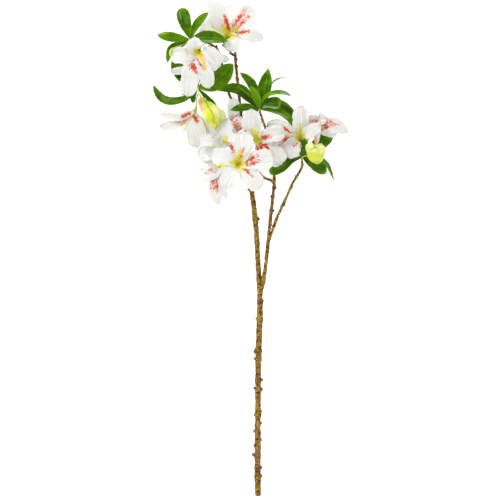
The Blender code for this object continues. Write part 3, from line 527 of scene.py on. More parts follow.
         Petal((327, 131, 62), (336, 134.5, 54), 22, (0.3, -0.3, 0.6)),
         Petal((318, 128, 42), (322, 126, 16), 30, (0.8, 0.3, 0.1))),
        ((316.2, 111.6, 96), (320.9, 111.8, 96)), glow=8, filaments=1, tint=0.3, horned=True),
}

DEEP, FRESH, NEW = LeafTone.DEEP, LeafTone.FRESH, LeafTone.NEW

# On the leaves below, the shade-and-gloss marks are painted gloss highlights and the orange marks are painted
# olive shade.
TUFTS: dict[str, Tuft] = {
    "leaves_top_left": Tuft(
        "left_twig", (190, 39.5, 76),
        (Leaf(((185.4, 23, 84), (181.4, 8.3, 86)), 28, (-0.1, 0, 1), 1, 0.42, marks=strokes(
             grey=[(179.4, 12, 181, 19, 0.7, 0.9), (185, 14, 187.6, 24, 0.6, 0.6)],
             yellow=[(177, 12, 178, 22, 0.7, 0.6)])),
         Leaf(((197.8, 22.6, 86), (208.3, 12.6, 88)), 17, (0.1, -0.1, 1), tone=FRESH, marks=strokes(
             yellow=[(196, 20, 204, 14, 0.8, 0.7)])),
         Leaf(((173, 37.5, 80), (157.3, 34.8, 76)), 21, (0, 0.2, 1), tone=FRESH, marks=strokes(
             yellow=[(158, 34, 168, 33, 1.2, 0.7)])),
         Leaf(((199, 37.6, 92), (212.5, 37.3, 108), (227.3, 41, 106)), 26, (0, 0.1, 1), tone=DEEP,
              marks=strokes(
             grey=[(204, 40.6, 214, 41.2, 0.7, 0.9), (216, 40.6, 222, 42, 0.6, 0.7)],
             yellow=[(216, 31.6, 226, 38, 0.8, 0.6)])),
         Leaf(((184, 43.5, 62), (172, 48.6, 56), (167.4, 62.5, 54)), 17, (-0.1, 0.3, 1)))),
    "leaves_left": Tuft(
        "drooping_twig", (197.6, 88, 58),
        (Leaf(((187, 97.6, 52), (173, 101.4, 42), (163.3, 99.2, 33), (157, 92.5, 27), (153.5, 85.3, 24)), 18,
              (0, 0.3, 1), marks=strokes(
             orange=[(160, 92.6, 168, 97, 0.9, 0.8), (168, 97, 186, 96, 0.9, 0.6)])),
         Leaf(((213.6, 81.6, 68), (232.6, 64, 72)), 41, (0.1, -0.12, 1), 0.95, fold=0.3, tone=FRESH),
         Leaf(((207, 98, 56), (217, 107, 52)), 11, (0.4, 0.3, 0.9), tone=DEEP),
         Leaf(((193.5, 96, 50), (193.5, 103, 44)), 13, (-0.2, 0.2, 0.9), tone=DEEP),
         Leaf(((190, 92.5, 60), (181.3, 95, 66)), 6, (0, 0.2, 1), tone=NEW),
         Leaf(((183, 75.5, 62), (172.6, 59.5, 56)), 31, (0.2, 0, 1)))),
    "leaves_centre": Tuft(
        "right_limb", (259.5, 109.6, 75),
        (Leaf(((250.5, 98, 84), (237, 87.4, 87), (217, 90, 80)), 25, (0.2, -0.5, 0.85), 0.95, fold=0.5,
              tone=DEEP, marks=strokes(
             orange=[(226, 92.4, 245, 96.5, 2.6, 1), (244, 96, 254, 107, 1.8, 0.9)],
             yellow=[(238, 86, 252, 97, 0.9, 0.5)])),
         Leaf(((256.8, 97, 78), (251, 83.4, 84), (240.2, 72.8, 88)), 19, (0.2, 0.1, 0.9)),
         Leaf(((262.6, 97, 82), (265.4, 84, 86), (268.5, 68.6, 86)), 28, (0, -0.1, 1), 1.15, 0.95, wave=1.6),
         Leaf(((256.4, 97.5, 94), (250.8, 86.3, 102)), 16, (0.1, 0, 1), tone=NEW),
         Leaf(((266, 95, 74), (273.5, 82, 76), (285.5, 76.6, 72)), 12, (-0.6, 1, 0.1), tone=FRESH),
         Leaf(((264, 98, 92), (270.4, 93.7, 98), (282, 92.6, 101), (290.4, 95.8, 95)), 10, (0, 0.35, 0.9),
              0.9, 0.5, tone=NEW, marks=strokes(grey=[(282, 92.6, 290, 95.6, 1.4, 1)])),
         Leaf(((270, 103, 87), (280.6, 103.6, 90)), 25, (0, -0.1, 1), 1.1, 0.3, marks=strokes(
             grey=[(264, 107, 279, 109, 1.7, 1.1)])),
         Leaf(((270, 110.2, 80), (281, 113, 82), (290, 120, 82), (297.2, 134.6, 77)), 12, tone=FRESH,
              marks=strokes(grey=[(276, 112, 288, 118, 1, 0.8)])),
         Leaf(((273.4, 104.4, 70), (284.6, 109.4, 66), (296, 118.6, 58)), 27, tone=FRESH, marks=strokes(
             orange=[(281, 105, 292, 114, 3.2, 0.55)], yellow=[(280, 101.6, 293, 108, 1, 0.6)])),
         Leaf(((246, 107.2, 88), (230.8, 110, 92)), 16, (0, 0.1, 1)),
         Leaf(((251, 112.5, 82), (242, 117.6, 80)), 12, (0, -0.2, 1), tone=FRESH))),
    "leaves_right": Tuft(
        "right_twig", (302.3, 157, 68),
        (Leaf(((291, 160, 74), (281, 167.3, 76), (269.8, 172.6, 72)), 21, (0, -0.1, 1), 0.75, 0.3),
         Leaf(((313, 162.8, 62), (325.8, 173, 56)), 27, (0.1, 0.1, 1), 0.8, 0.5),
         Leaf(((323, 161, 38), (333.6, 179.4, 1.5)), 12, (0.5, 0.3, 0.8)),
         Leaf(((312.4, 149.6, 52), (330.8, 133.4, 40)), 30, (0.1, 0.1, 1), 1.2, 0.4, tone=DEEP),
         Leaf(((303.2, 150, 84), (304.8, 138.4, 98)), 20, (0.3, -0.2, 1), tone=DEEP))),
}

# On the buds below, the shade-and-gloss marks are painted shade in creases and at edges.
BUDS: dict[str, Bud] = {
    "bud_left": Bud(
        ((197.8, 88.2, 60), (198.8, 94, 69), (201.2, 97.8, 74.6), (201.9, 99.8, 77), (203.2, 103.8, 80),
         (207.4, 108.8, 84), (211.6, 113.6, 88), (214.6, 118.8, 88), (215.6, 129.8, 86)),
        (1.6, 1.8, 2.2, 7.8, 10.4, 15.2, 17.4, 14.4, 1.2), 3,
        lips=(Petal((218.4, 112.5, 92), (224.4, 119.4, 86), 17, (0.2, 0.1, 1), 0.8, 0.35, wave=1,
                    marks=strokes(pale=[(216, 109, 222, 117, 4, 0.9)])),
              Petal((209.5, 118, 98), (215.6, 128.6, 92), 15, (-0.3, 0.2, 1), 0.9, 0.7, wave=0.8)),
        marks=strokes(
            orange=[(198.6, 98.5, 202.2, 110, 1.2, 1.9), (202.6, 100, 206, 109, 1.3, 0.4),
                    (209, 106, 216, 113, 1.6, 0.25), (206, 107, 207, 110, 1, 0.5)],
            yellow=[(207, 104, 210, 112, 1.2, 0.9), (209, 112, 214.6, 127, 3, 1.3)],
            red=[(199, 100, 201.4, 108, 0.8, 1)], pale=[(214, 110, 222, 116, 3.4, 0.7)],
            grey=[(206, 101, 208.2, 106.6, 0.6, 1.1), (208.2, 106.6, 211.4, 111.4, 0.6, 1),
                  (211.4, 111.4, 214, 117.6, 0.7, 0.7), (201.4, 102, 204.6, 111.5, 0.45, 0.8),
                  (213, 120, 215.4, 129, 2.2, 0.75), (205, 102, 207, 106, 1.4, 0.35)])),
    "bud_right": Bud(
        ((317.6, 163.6, 90), (317.2, 160.5, 92), (316.4, 155.5, 94), (315.8, 149.5, 96), (315.2, 144.6, 97)),
        (3, 12, 17.6, 18.8, 13), 7, 0.035,
        straps=(Petal((317.2, 134, 101), (318.2, 121.8, 100), 14, (0.2, 0, 1), 0.95, 0.5, wave=0.8,
                      marks=strokes(
                    orange=[(314.8, 134.4, 315.4, 143.6, 1.1, 2.6)],
                    yellow=[(320.4, 126, 319.8, 144, 1.1, 0.3), (316, 123, 319.6, 126, 1.4, 0.9)])),),
        lips=(Petal((310.2, 149, 113), (310, 143.2, 110), 18, (-0.25, 0.2, 1), 0.7, 0.3, wave=0.8,
                    marks=strokes(pale=[(309, 144, 311, 150, 5, 0.6)])),
              Petal((320.6, 150, 113), (321.4, 144.2, 109), 17, (0.3, 0.2, 1), 0.7, 0.3, wave=0.8,
                    marks=strokes(
                  orange=[(318.5, 144.4, 323, 145.4, 0.8, 0.6)], pale=[(321, 145, 320, 150, 5, 0.6)]))),
        stalk=((302.3, 157, 68), (305.6, 155.8, 74), (311, 156.6, 80), (316.8, 160.8, 89)), dish=9,
        marks=strokes(
            yellow=[(311, 156, 318, 161, 4, 0.8)],
            grey=[(315.4, 145, 316.2, 150, 0.6, 0.6), (313, 163, 321, 162, 1.8, 0.7)],
            pale=[(308, 150, 323, 150, 4, 0.5)])),
    "bud_top_left": Bud(
        ((190, 39.5, 76), (184.4, 44, 71), (176, 46.8, 67), (171.4, 50, 66), (170.6, 54, 67), (171, 57, 67)),
        (0.9, 0.9, 1, 2.6, 3.2, 0.8), 3, 0.05),
}


class Course:
    """A smooth curve through places, made by the same rule as the solids' curves."""

    KNOT_POWER = 0.7
    SAMPLES = 161

    def __init__(self, points: Vec) -> None:
        """Works out the knots and slopes.

        Args:
            points: The places that the curve passes, one a row.
        """
        self.points = np.array(points, float)
        lengths = np.linalg.norm(np.diff(self.points, axis=0), axis=1) ** self.KNOT_POWER
        knots = np.concatenate([[0.0], np.cumsum(lengths)])
        self.knots = knots / knots[-1]
        self.spans = np.diff(self.knots)
        rates = np.diff(self.points, axis=0) / self.spans[:, None]
        slopes = np.empty_like(self.points)
        for i in range(1, len(self.points) - 1):
            total = self.spans[i] + self.spans[i - 1]
            slopes[i] = (rates[i - 1] * self.spans[i] + rates[i] * self.spans[i - 1]) / total
        if len(self.points) == 2:
            slopes[:] = rates[0]
        else:
            slopes[0] = 1.5 * rates[0] - 0.5 * slopes[1]
            slopes[-1] = 1.5 * rates[-1] - 0.5 * slopes[-2]
        self.slopes = slopes

    def at(self, shares: Vec) -> Vec:
        """The points at the given shares of the curve.

        Args:
            shares: Shares from 0 to 1.

        Returns:
            One point a row.
        """
        shares = np.asarray(shares, float)
        i = np.clip(np.searchsorted(self.knots, shares, side="right") - 1, 0, len(self.points) - 2)
        span = self.spans[i][:, None]
        t = ((shares - self.knots[i]) / self.spans[i])[:, None]
        return ((2 * t**3 - 3 * t**2 + 1) * self.points[i] + (t**3 - 2 * t**2 + t) * span * self.slopes[i]
                + (3 * t**2 - 2 * t**3) * self.points[i + 1] + (t**3 - t**2) * span * self.slopes[i + 1])

    def heading(self, shares: Vec) -> Vec:
        """The direction of the curve at the given shares.

        Args:
            shares: Shares from 0 to 1.

        Returns:
            One unit vector a row.
        """
        even = np.linspace(0, 1, self.SAMPLES)
        course = np.gradient(self.at(even), axis=0)
        return unit(np.stack([np.interp(shares, even, course[:, k]) for k in range(3)], axis=1))

    def length(self) -> float:
        """The length of the curve in metres."""
        points = self.at(np.linspace(0, 1, self.SAMPLES))
        return float(np.linalg.norm(np.diff(points, axis=0), axis=1).sum())


@dataclass
class Sheet:
    """A run of like faces, with each corner's place on the bake map, in metres, and on the finish's own map."""

    faces: Vec
    flat: Vec
    lines: Vec
    island: int
    material: int = 0


@dataclass
class Patch:
    """One closed surface: its points, its sheets of faces and the values that its finish reads at each point."""

    points: Vec
    sheets: list[Sheet]
    fields: dict[str, Vec] = field(default_factory=dict)

    def tint(self, name: str, values: Vec, most: float = FULL_TONE) -> None:
        """Adds to one of the patch's values, up to the most that it may be."""
        self.fields[name] = np.minimum(self.fields.get(name, np.zeros(len(self.points))) + values, most)

    def turned_out(self) -> "Patch":
        """Turns the faces so that they point out of the shape they close.

        Returns:
            This patch.
        """
        volume = 0.0
        middle = self.points.mean(axis=0)
        for sheet in self.sheets:
            corners = self.points[sheet.faces] - middle
            for k in range(1, corners.shape[1] - 1):
                volume += float(np.einsum("ij,ij->", corners[:, 0], np.cross(corners[:, k], corners[:, k + 1])))
        if volume < 0:
            for sheet in self.sheets:
                sheet.faces = sheet.faces[:, ::-1]
                sheet.flat = sheet.flat[:, ::-1]
                sheet.lines = sheet.lines[:, ::-1]
        return self


def mark_patch(patch: Patch, marks: tuple[Mark, ...], share: Vec) -> None:
    """Lays marks on a surface.

    Args:
        patch: The surface.
        marks: The marks.
        share: How much of them each point takes.
    """
    spots = PLAN.spots(patch.points)
    for mark in marks:
        patch.tint(mark.tone.value, mark.on(spots) * share)


class Draft:
    """Collects the patches of one piece and makes its mesh, with a bake map on which no two faces overlap."""

    GAP = 1.2 * MM
    GROWTH = 1.02
    FIELDS = ("red", "orange", "yellow", "grey", "pale", "dark", "fresh", "edge", "under")

    def __init__(self, name: str, materials: list[bpy.types.Material]) -> None:
        """Starts an empty piece.

        Args:
            name: The name of the piece.
            materials: Its materials, in the order that its sheets number them.
        """
        self.name = name
        self.materials = materials
        self.patches: list[Patch] = []

    def add(self, patch: Patch) -> None:
        """Adds a closed surface to the piece."""
        self.patches.append(patch.turned_out())

    def _packed(self) -> list[tuple[Vec, Vec]]:
        """Lays the islands side by side in rows.

        Returns:
            For each sheet in turn, its corners on the bake map and its corners on the finish's map.
        """
        groups: dict[tuple[int, int], list[Sheet]] = {}
        for i, patch in enumerate(self.patches):
            for sheet in patch.sheets:
                groups.setdefault((i, sheet.island), []).append(sheet)
        boxes = []
        for key, sheets in groups.items():
            flat = np.concatenate([sheet.flat.reshape(-1, 2) for sheet in sheets])
            low, high = flat.min(axis=0), flat.max(axis=0)
            boxes.append((key, low, high - low + self.GAP))
        boxes.sort(key=lambda item: -item[2][1])
        width = math.sqrt(sum(float(box[0] * box[1]) for _, _, box in boxes))
        while True:
            places: dict[tuple[int, int], Vec] = {}
            x, y, row = self.GAP, self.GAP, 0.0
            for key, low, box in boxes:
                if x + box[0] > width and row > 0:
                    x, y, row = self.GAP, y + row, 0.0
                places[key] = np.array([x, y]) - low
                x, row = x + float(box[0]), max(row, float(box[1]))
            if y + row <= width and max(float(box[0]) for _, _, box in boxes) + self.GAP <= width:
                break
            width *= self.GROWTH
        return [((sheet.flat + places[(i, sheet.island)]) / width, sheet.lines)
                for i, patch in enumerate(self.patches) for sheet in patch.sheets]

    def build(self) -> bpy.types.Object:
        """Makes the object of the piece, at the origin.

        Returns:
            The object, linked to the scene.
        """
        maps = self._packed()
        starts = np.cumsum([0] + [len(patch.points) for patch in self.patches])
        sheets = [(sheet, starts[i]) for i, patch in enumerate(self.patches) for sheet in patch.sheets]
        corners = np.concatenate([(sheet.faces + start).ravel() for sheet, start in sheets])
        counts = np.concatenate([np.full(len(sheet.faces), sheet.faces.shape[1]) for sheet, _ in sheets])
        mesh = bpy.data.meshes.new(self.name)
        points = np.concatenate([patch.points for patch in self.patches])
        mesh.vertices.add(len(points))
        mesh.vertices.foreach_set("co", points.astype(np.float32).ravel())
        mesh.loops.add(len(corners))
        mesh.loops.foreach_set("vertex_index", corners.astype(np.int32))
        mesh.polygons.add(len(counts))
        mesh.polygons.foreach_set("loop_start", np.concatenate([[0], np.cumsum(counts)[:-1]]).astype(np.int32))
        slots = np.concatenate([np.full(len(sheet.faces), sheet.material) for sheet, _ in sheets])
        mesh.polygons.foreach_set("material_index", slots.astype(np.int32))
        mesh.update(calc_edges=True)
        for name, index in (("OFBake", 0), ("lines", 1)):
            places = np.concatenate([pair[index].reshape(-1, 2) for pair in maps])
            mesh.uv_layers.new(name=name).uv.foreach_set("vector", places.astype(np.float32).ravel())
        for name in self.FIELDS:
            values = np.concatenate([patch.fields.get(name, np.zeros(len(patch.points)))
                                     for patch in self.patches])
            if values.any():
                mesh.attributes.new(name, "FLOAT", "POINT").data.foreach_set("value", values.astype(np.float32))
        for material in self.materials:
            mesh.materials.append(material)
        mesh.shade_smooth()
        return new_object(self.name, mesh)


@dataclass(frozen=True)
class BladeSize:
    """What makes one petal or leaf: its outline, its thickness and the small shapes of its surface, in metres."""

    width: float
    face: Place
    swell: float
    roundness: float
    least: float
    cup: float
    thick: float
    pitch: float
    wave: float = 0.0
    tips: tuple[Lobe, ...] = ()
    ragged: float = 0.045
    ridge: float = 0.0
    midrib: float = 0.0
    veins: float = 0.0
    seed: int = 0


class Blade:
    """A thin closed sheet along a course: a petal or a leaf."""

    ROW_POWER = 1.7
    CUP_POWER = 1.6
    EDGE_WAVES = (2.3, 4.1, 7.7, 13.1)
    RUFFLES = (1.3, 2.4, 4.3)
    CRIMPS, CRIMP_SHARE = 8.3, 0.45
    FOLDS, FOLD_SHARE = (1.6, 3.1), 0.36
    RIDGE_PITCH, VEIN_PITCH, MIDRIB_REACH = 5.5 * MM, 6.0 * MM, 0.9 * MM
    VEIN_SLANT = 1.9
    RIM_THINNING, TIP_THINNING = 0.35, 0.25

    def __init__(self, places: list[Vec], size: BladeSize) -> None:
        """Lays the grid of the sheet.

        Args:
            places: The points that its middle line passes, from its foot to its tip.
            size: Its sizes.
        """
        self.size = size
        self.course = Course(np.array(places))
        self.length = self.course.length()
        self.rows = max(12, round(self.length / size.pitch))
        self.spans = max(4, 2 * round(size.width / size.pitch / 2))
        self.shares = 1 - (1 - np.linspace(0, 1, self.rows + 1)) ** self.ROW_POWER
        self.across = np.linspace(-1, 1, self.spans + 1)
        self.rng = np.random.default_rng(size.seed)
        self.half = self._half_widths()
        self.middle = self._middle_surface()

    def _half_widths(self) -> Vec:
        """Half the width at each row, for each side.

        Returns:
            An array of rows by columns, in metres.
        """
        size, shares = self.size, self.shares
        top = size.swell / (size.swell + size.roundness)
        peak = top**size.swell * (1 - top) ** size.roundness
        outline = shares**size.swell * np.maximum(1 - shares, 1e-5) ** size.roundness / peak
        outline = np.maximum(outline, size.least * (shares < 0.5))
        ragged = np.zeros((len(shares), 2))
        for order in self.EDGE_WAVES:
            turns = self.rng.uniform(0, 2 * math.pi, 2)
            ragged += np.sin(2 * math.pi * order * shares[:, None] + turns) / order**0.4
        ragged *= size.ragged * (soft_step(shares, 0.1, 0.4) * (1 - shares**6))[:, None]
        sides = size.width / 2 * outline[:, None] * (1 + ragged)
        return np.where(self.across[None, :] < 0, sides[:, :1], sides[:, 1:])

    def _middle_surface(self) -> Vec:
        """Shapes the sheet half way through its thickness.

        Returns:
            A grid of points, of rows by columns.
        """
        size, s, v = self.size, self.shares[:, None], self.across[None, :]
        centre, along = self.course.at(self.shares), self.course.heading(self.shares)
        face = unit(np.array(size.face))
        normal = unit(face - along * (along @ face)[:, None])
        side = np.cross(along, normal)
        cup = size.cup * np.ones_like(v)
        out = self.half * v * np.sqrt(1 - 0.5 * (cup * v) ** 2)
        lift = self.half * cup * np.abs(v) ** self.CUP_POWER
        ruffle = np.zeros(lift.shape)
        for order in self.RUFFLES:
            turns = self.rng.uniform(0, 2 * math.pi, 2)
            turn = np.where(v < 0, turns[0], turns[1])
            ruffle += np.sin(2 * math.pi * order * s + turn) / order**0.8
        lift = lift + size.wave * np.abs(v) ** 2.2 * ruffle * soft_step(s, 0.05, 0.5)
        crimp = np.sin(2 * math.pi * self.CRIMPS * s + self.rng.uniform(0, 6) + 2.0 * v)
        lift = lift + self.CRIMP_SHARE * size.wave * crimp * np.abs(v) ** 7 * soft_step(s, 0.3, 0.6)
        fade = soft_step(s, 0.04, 0.3) * (1 - 0.7 * soft_step(s, 0.75, 1.0)) * (1 - np.abs(v) ** 4)
        count = max(3, round(size.width / self.RIDGE_PITCH))
        lift = lift + size.ridge * np.cos(math.pi * count * v + self.rng.uniform(0, 6)) * fade
        groove = np.exp(-((self.half * v) / self.MIDRIB_REACH) ** 2)
        lift = lift - size.midrib * groove * soft_step(s, 0.0, 0.1) * (1 - s**4)
        veins = self.length / self.VEIN_PITCH * s - self.VEIN_SLANT * np.abs(v)
        lift = lift + size.veins * np.cos(2 * math.pi * veins) * fade
        broad, fine = (np.sin(2 * math.pi * order * v + self.rng.uniform(0, 6)) for order in self.FOLDS)
        lift = lift + self.FOLD_SHARE * size.wave * (broad + 0.6 * fine) * s**3
        reach = np.zeros(lift.shape)
        for where, far, wide in size.tips:
            reach = reach + far * MM * s**7 * np.exp(-((v - where) / wide) ** 2)
        return (centre[:, None, :] + side[:, None, :] * out[:, :, None] + normal[:, None, :] * lift[:, :, None]
                + along[:, None, :] * reach[:, :, None])

    def _faces(self) -> tuple[Vec, Vec, Vec]:
        """The faces of the upper side, the under side and the rim.

        Returns:
            Three arrays of four corners a row, numbered row by row.
        """
        wide, tall = self.spans + 1, self.rows + 1
        index = np.arange(wide * tall).reshape(tall, wide)
        top = np.stack([index[:-1, :-1], index[:-1, 1:], index[1:, 1:], index[1:, :-1]], axis=-1).reshape(-1, 4)
        under = top[:, ::-1] + wide * tall
        ring = np.concatenate([index[0, :], index[1:, -1], index[-1, -2::-1], index[-2:0:-1, 0]])
        after = np.roll(ring, -1)
        rim = np.stack([after, ring, ring + wide * tall, after + wide * tall], axis=-1)
        return top, under, rim

    def patch(self) -> Patch:
        """The closed sheet.

        Returns:
            The patch, with the values edge, under and across at its points.
        """
        size = self.size
        rise, run = np.gradient(self.middle, axis=0), np.gradient(self.middle, axis=1)
        normal = unit(np.cross(run, rise))
        if float(np.einsum("ijk,k->", normal, np.array(size.face))) < 0:
            normal = -normal
        sides = 1 - self.RIM_THINNING * np.abs(self.across[None, :]) ** 3
        thick = size.thick * sides * (1 - self.TIP_THINNING * self.shares[:, None] ** 3)
        offset = normal * thick[:, :, None] / 2
        points = np.concatenate([(self.middle + offset).reshape(-1, 3), (self.middle - offset).reshape(-1, 3)])
        top, under, rim = self._faces()
        count = len(points) // 2
        along = np.broadcast_to(self.shares[:, None] * self.length, self.half.shape)
        across = np.broadcast_to(self.across[None, :], self.half.shape)
        flat = np.tile(np.stack([self.half * across, along], axis=-1).reshape(-1, 2), (2, 1))
        lines = np.tile(np.stack([along * 100, across], axis=-1).reshape(-1, 2), (2, 1))
        outward = np.zeros((count, 2))
        grid = np.arange(count).reshape(self.rows + 1, self.spans + 1)
        rim_flat = flat[rim]
        outward[grid[:, 0]], outward[grid[:, -1]] = (-1, 0), (1, 0)
        outward[grid[0, 1:-1]], outward[grid[-1, 1:-1]] = (0, -1), (0, 1)
        on_end = (rim[:, 0] // (self.spans + 1)) == (rim[:, 1] // (self.spans + 1))
        low = rim[:, 0] < self.spans + 1
        push = np.where(on_end[:, None], np.where(low[:, None], (0.0, -1.0), (0.0, 1.0)), outward[rim[:, 0]])
        rim_flat[:, 2:] += push[:, None, :] * size.thick
        patch = Patch(points, [
            Sheet(top, flat[top], lines[top], 0),
            Sheet(rim, rim_flat, lines[rim % count], 0),
            Sheet(under, flat[under - count], lines[under - count], 1),
        ])
        edge = np.maximum(np.abs(self.across[None, :]) ** 5, self.shares[:, None] ** 5).reshape(-1)
        patch.fields["edge"] = np.concatenate([edge, edge])
        patch.fields["under"] = np.concatenate([np.zeros(count), np.ones(count)])
        patch.fields["across"] = np.tile(np.abs(across).ravel(), 2)
        return patch


class Tube:
    """A closed round body along a course: a stalk, a calyx or a bud."""

    def __init__(self, places: list[Vec], radii: list[float], sides: int, rings: int, flutes: int = 0,
                 depth: float = 0.0, dish: float = 0.0) -> None:
        """Turns the body.

        Args:
            places: The points that its middle line passes.
            radii: Its radius at each of them, or at even shares of its length, in metres.
            sides: How many points a ring has.
            rings: How many rings it has.
            flutes: How many lobes go round it.
            depth: How deep the furrows between the lobes are, as a share of the radius.
            dish: How far its last end is hollowed, in metres.
        """
        course = Course(np.array(places))
        shares = np.linspace(0, 1, rings)
        knots = course.knots if len(radii) == len(places) else np.linspace(0, 1, len(radii))
        radius = self._smooth_radii(knots, np.array(radii, float), shares)
        centre, along = course.at(shares), course.heading(shares)
        across = np.cross(along[0], (0.31, 0.17, 0.93))
        rings_of_points = []
        turn = np.linspace(0, 2 * math.pi, sides, endpoint=False)
        for i in range(rings):
            across = unit(across - along[i] * np.dot(across, along[i]))
            other = np.cross(along[i], across)
            lobes = np.cos(flutes * turn + 1.3 * shares[i]) - 0.4
            ring = radius[i] * (1 + depth * lobes * math.sin(math.pi * min(1.0, shares[i] * 1.05)))
            out = np.cos(turn)[:, None] * across + np.sin(turn)[:, None] * other
            rings_of_points.append(centre[i] + ring[:, None] * out)
        self.sides, self.rings = sides, rings
        self.shares, self.length = shares, course.length()
        self.points = np.concatenate(rings_of_points + [centre[:1], centre[-1:] - along[-1:] * dish])
        self.girth = 2 * math.pi * float(radius.max())

    @staticmethod
    def _smooth_radii(knots: Vec, radii: Vec, shares: Vec) -> Vec:
        """Eases the radius between the given ones.

        Args:
            knots: The shares of the length that the radii are given at.
            radii: The given radii, in metres.
            shares: The shares that a radius is wanted at.

        Returns:
            The radius at each of the shares, in metres.
        """
        course = Course(np.stack([knots, radii * 40, np.zeros_like(knots)], axis=1))
        samples = course.at(np.linspace(0, 1, 400))
        eased = np.interp(shares, np.maximum.accumulate(samples[:, 0]), samples[:, 1] / 40)
        return np.clip(eased, radii.min() * 0.6, radii.max() * 1.08)

    def patch(self, material: int = 0) -> Patch:
        """The closed body.

        Args:
            material: The number of its material in its piece.

        Returns:
            The patch, with the value edge rising from its foot to its tip.
        """
        sides, rings = self.sides, self.rings
        i, k = np.meshgrid(np.arange(rings - 1), np.arange(sides), indexing="ij")
        after = (k + 1) % sides
        here, above = i * sides, (i + 1) * sides
        wall = np.stack([here + k, here + after, above + after, above + k], axis=-1).reshape(-1, 4)
        low, high = self.shares[i], self.shares[i + 1]
        ys = np.stack([low, low, high, high], axis=-1).reshape(-1, 4)
        xs = np.stack([k, k + 1, k + 1, k], axis=-1).reshape(-1, 4) / sides
        flat = np.stack([xs * self.girth, ys * self.length], axis=-1)
        lines = np.stack([ys * self.length * 100, xs * 2 - 1], axis=-1)
        turn = np.arange(sides)
        last = (rings - 1) * sides
        caps = [np.stack([(turn + 1) % sides, turn, np.full(sides, rings * sides)], axis=-1),
                np.stack([last + turn, last + (turn + 1) % sides, np.full(sides, rings * sides + 1)], axis=-1)]
        sheets = [Sheet(wall, flat, lines, 0, material)]
        for number, cap in enumerate(caps):
            radius = self.girth / (2 * math.pi)
            angle = 2 * math.pi * np.stack([turn + 1, turn, turn], axis=-1) / sides
            if number:
                angle = 2 * math.pi * np.stack([turn, turn + 1, turn], axis=-1) / sides
            disc = radius * np.stack([np.cos(angle), np.sin(angle)], axis=-1)
            disc[:, 2] = 0.0
            spread = np.stack([np.full((sides, 3), number * self.length * 100), np.zeros((sides, 3))], axis=-1)
            sheets.append(Sheet(cap, disc, spread, 1 + number, material))
        patch = Patch(self.points, sheets)
        patch.fields["edge"] = np.concatenate([np.repeat(self.shares, sides), [0.0, 1.0]])
        return patch


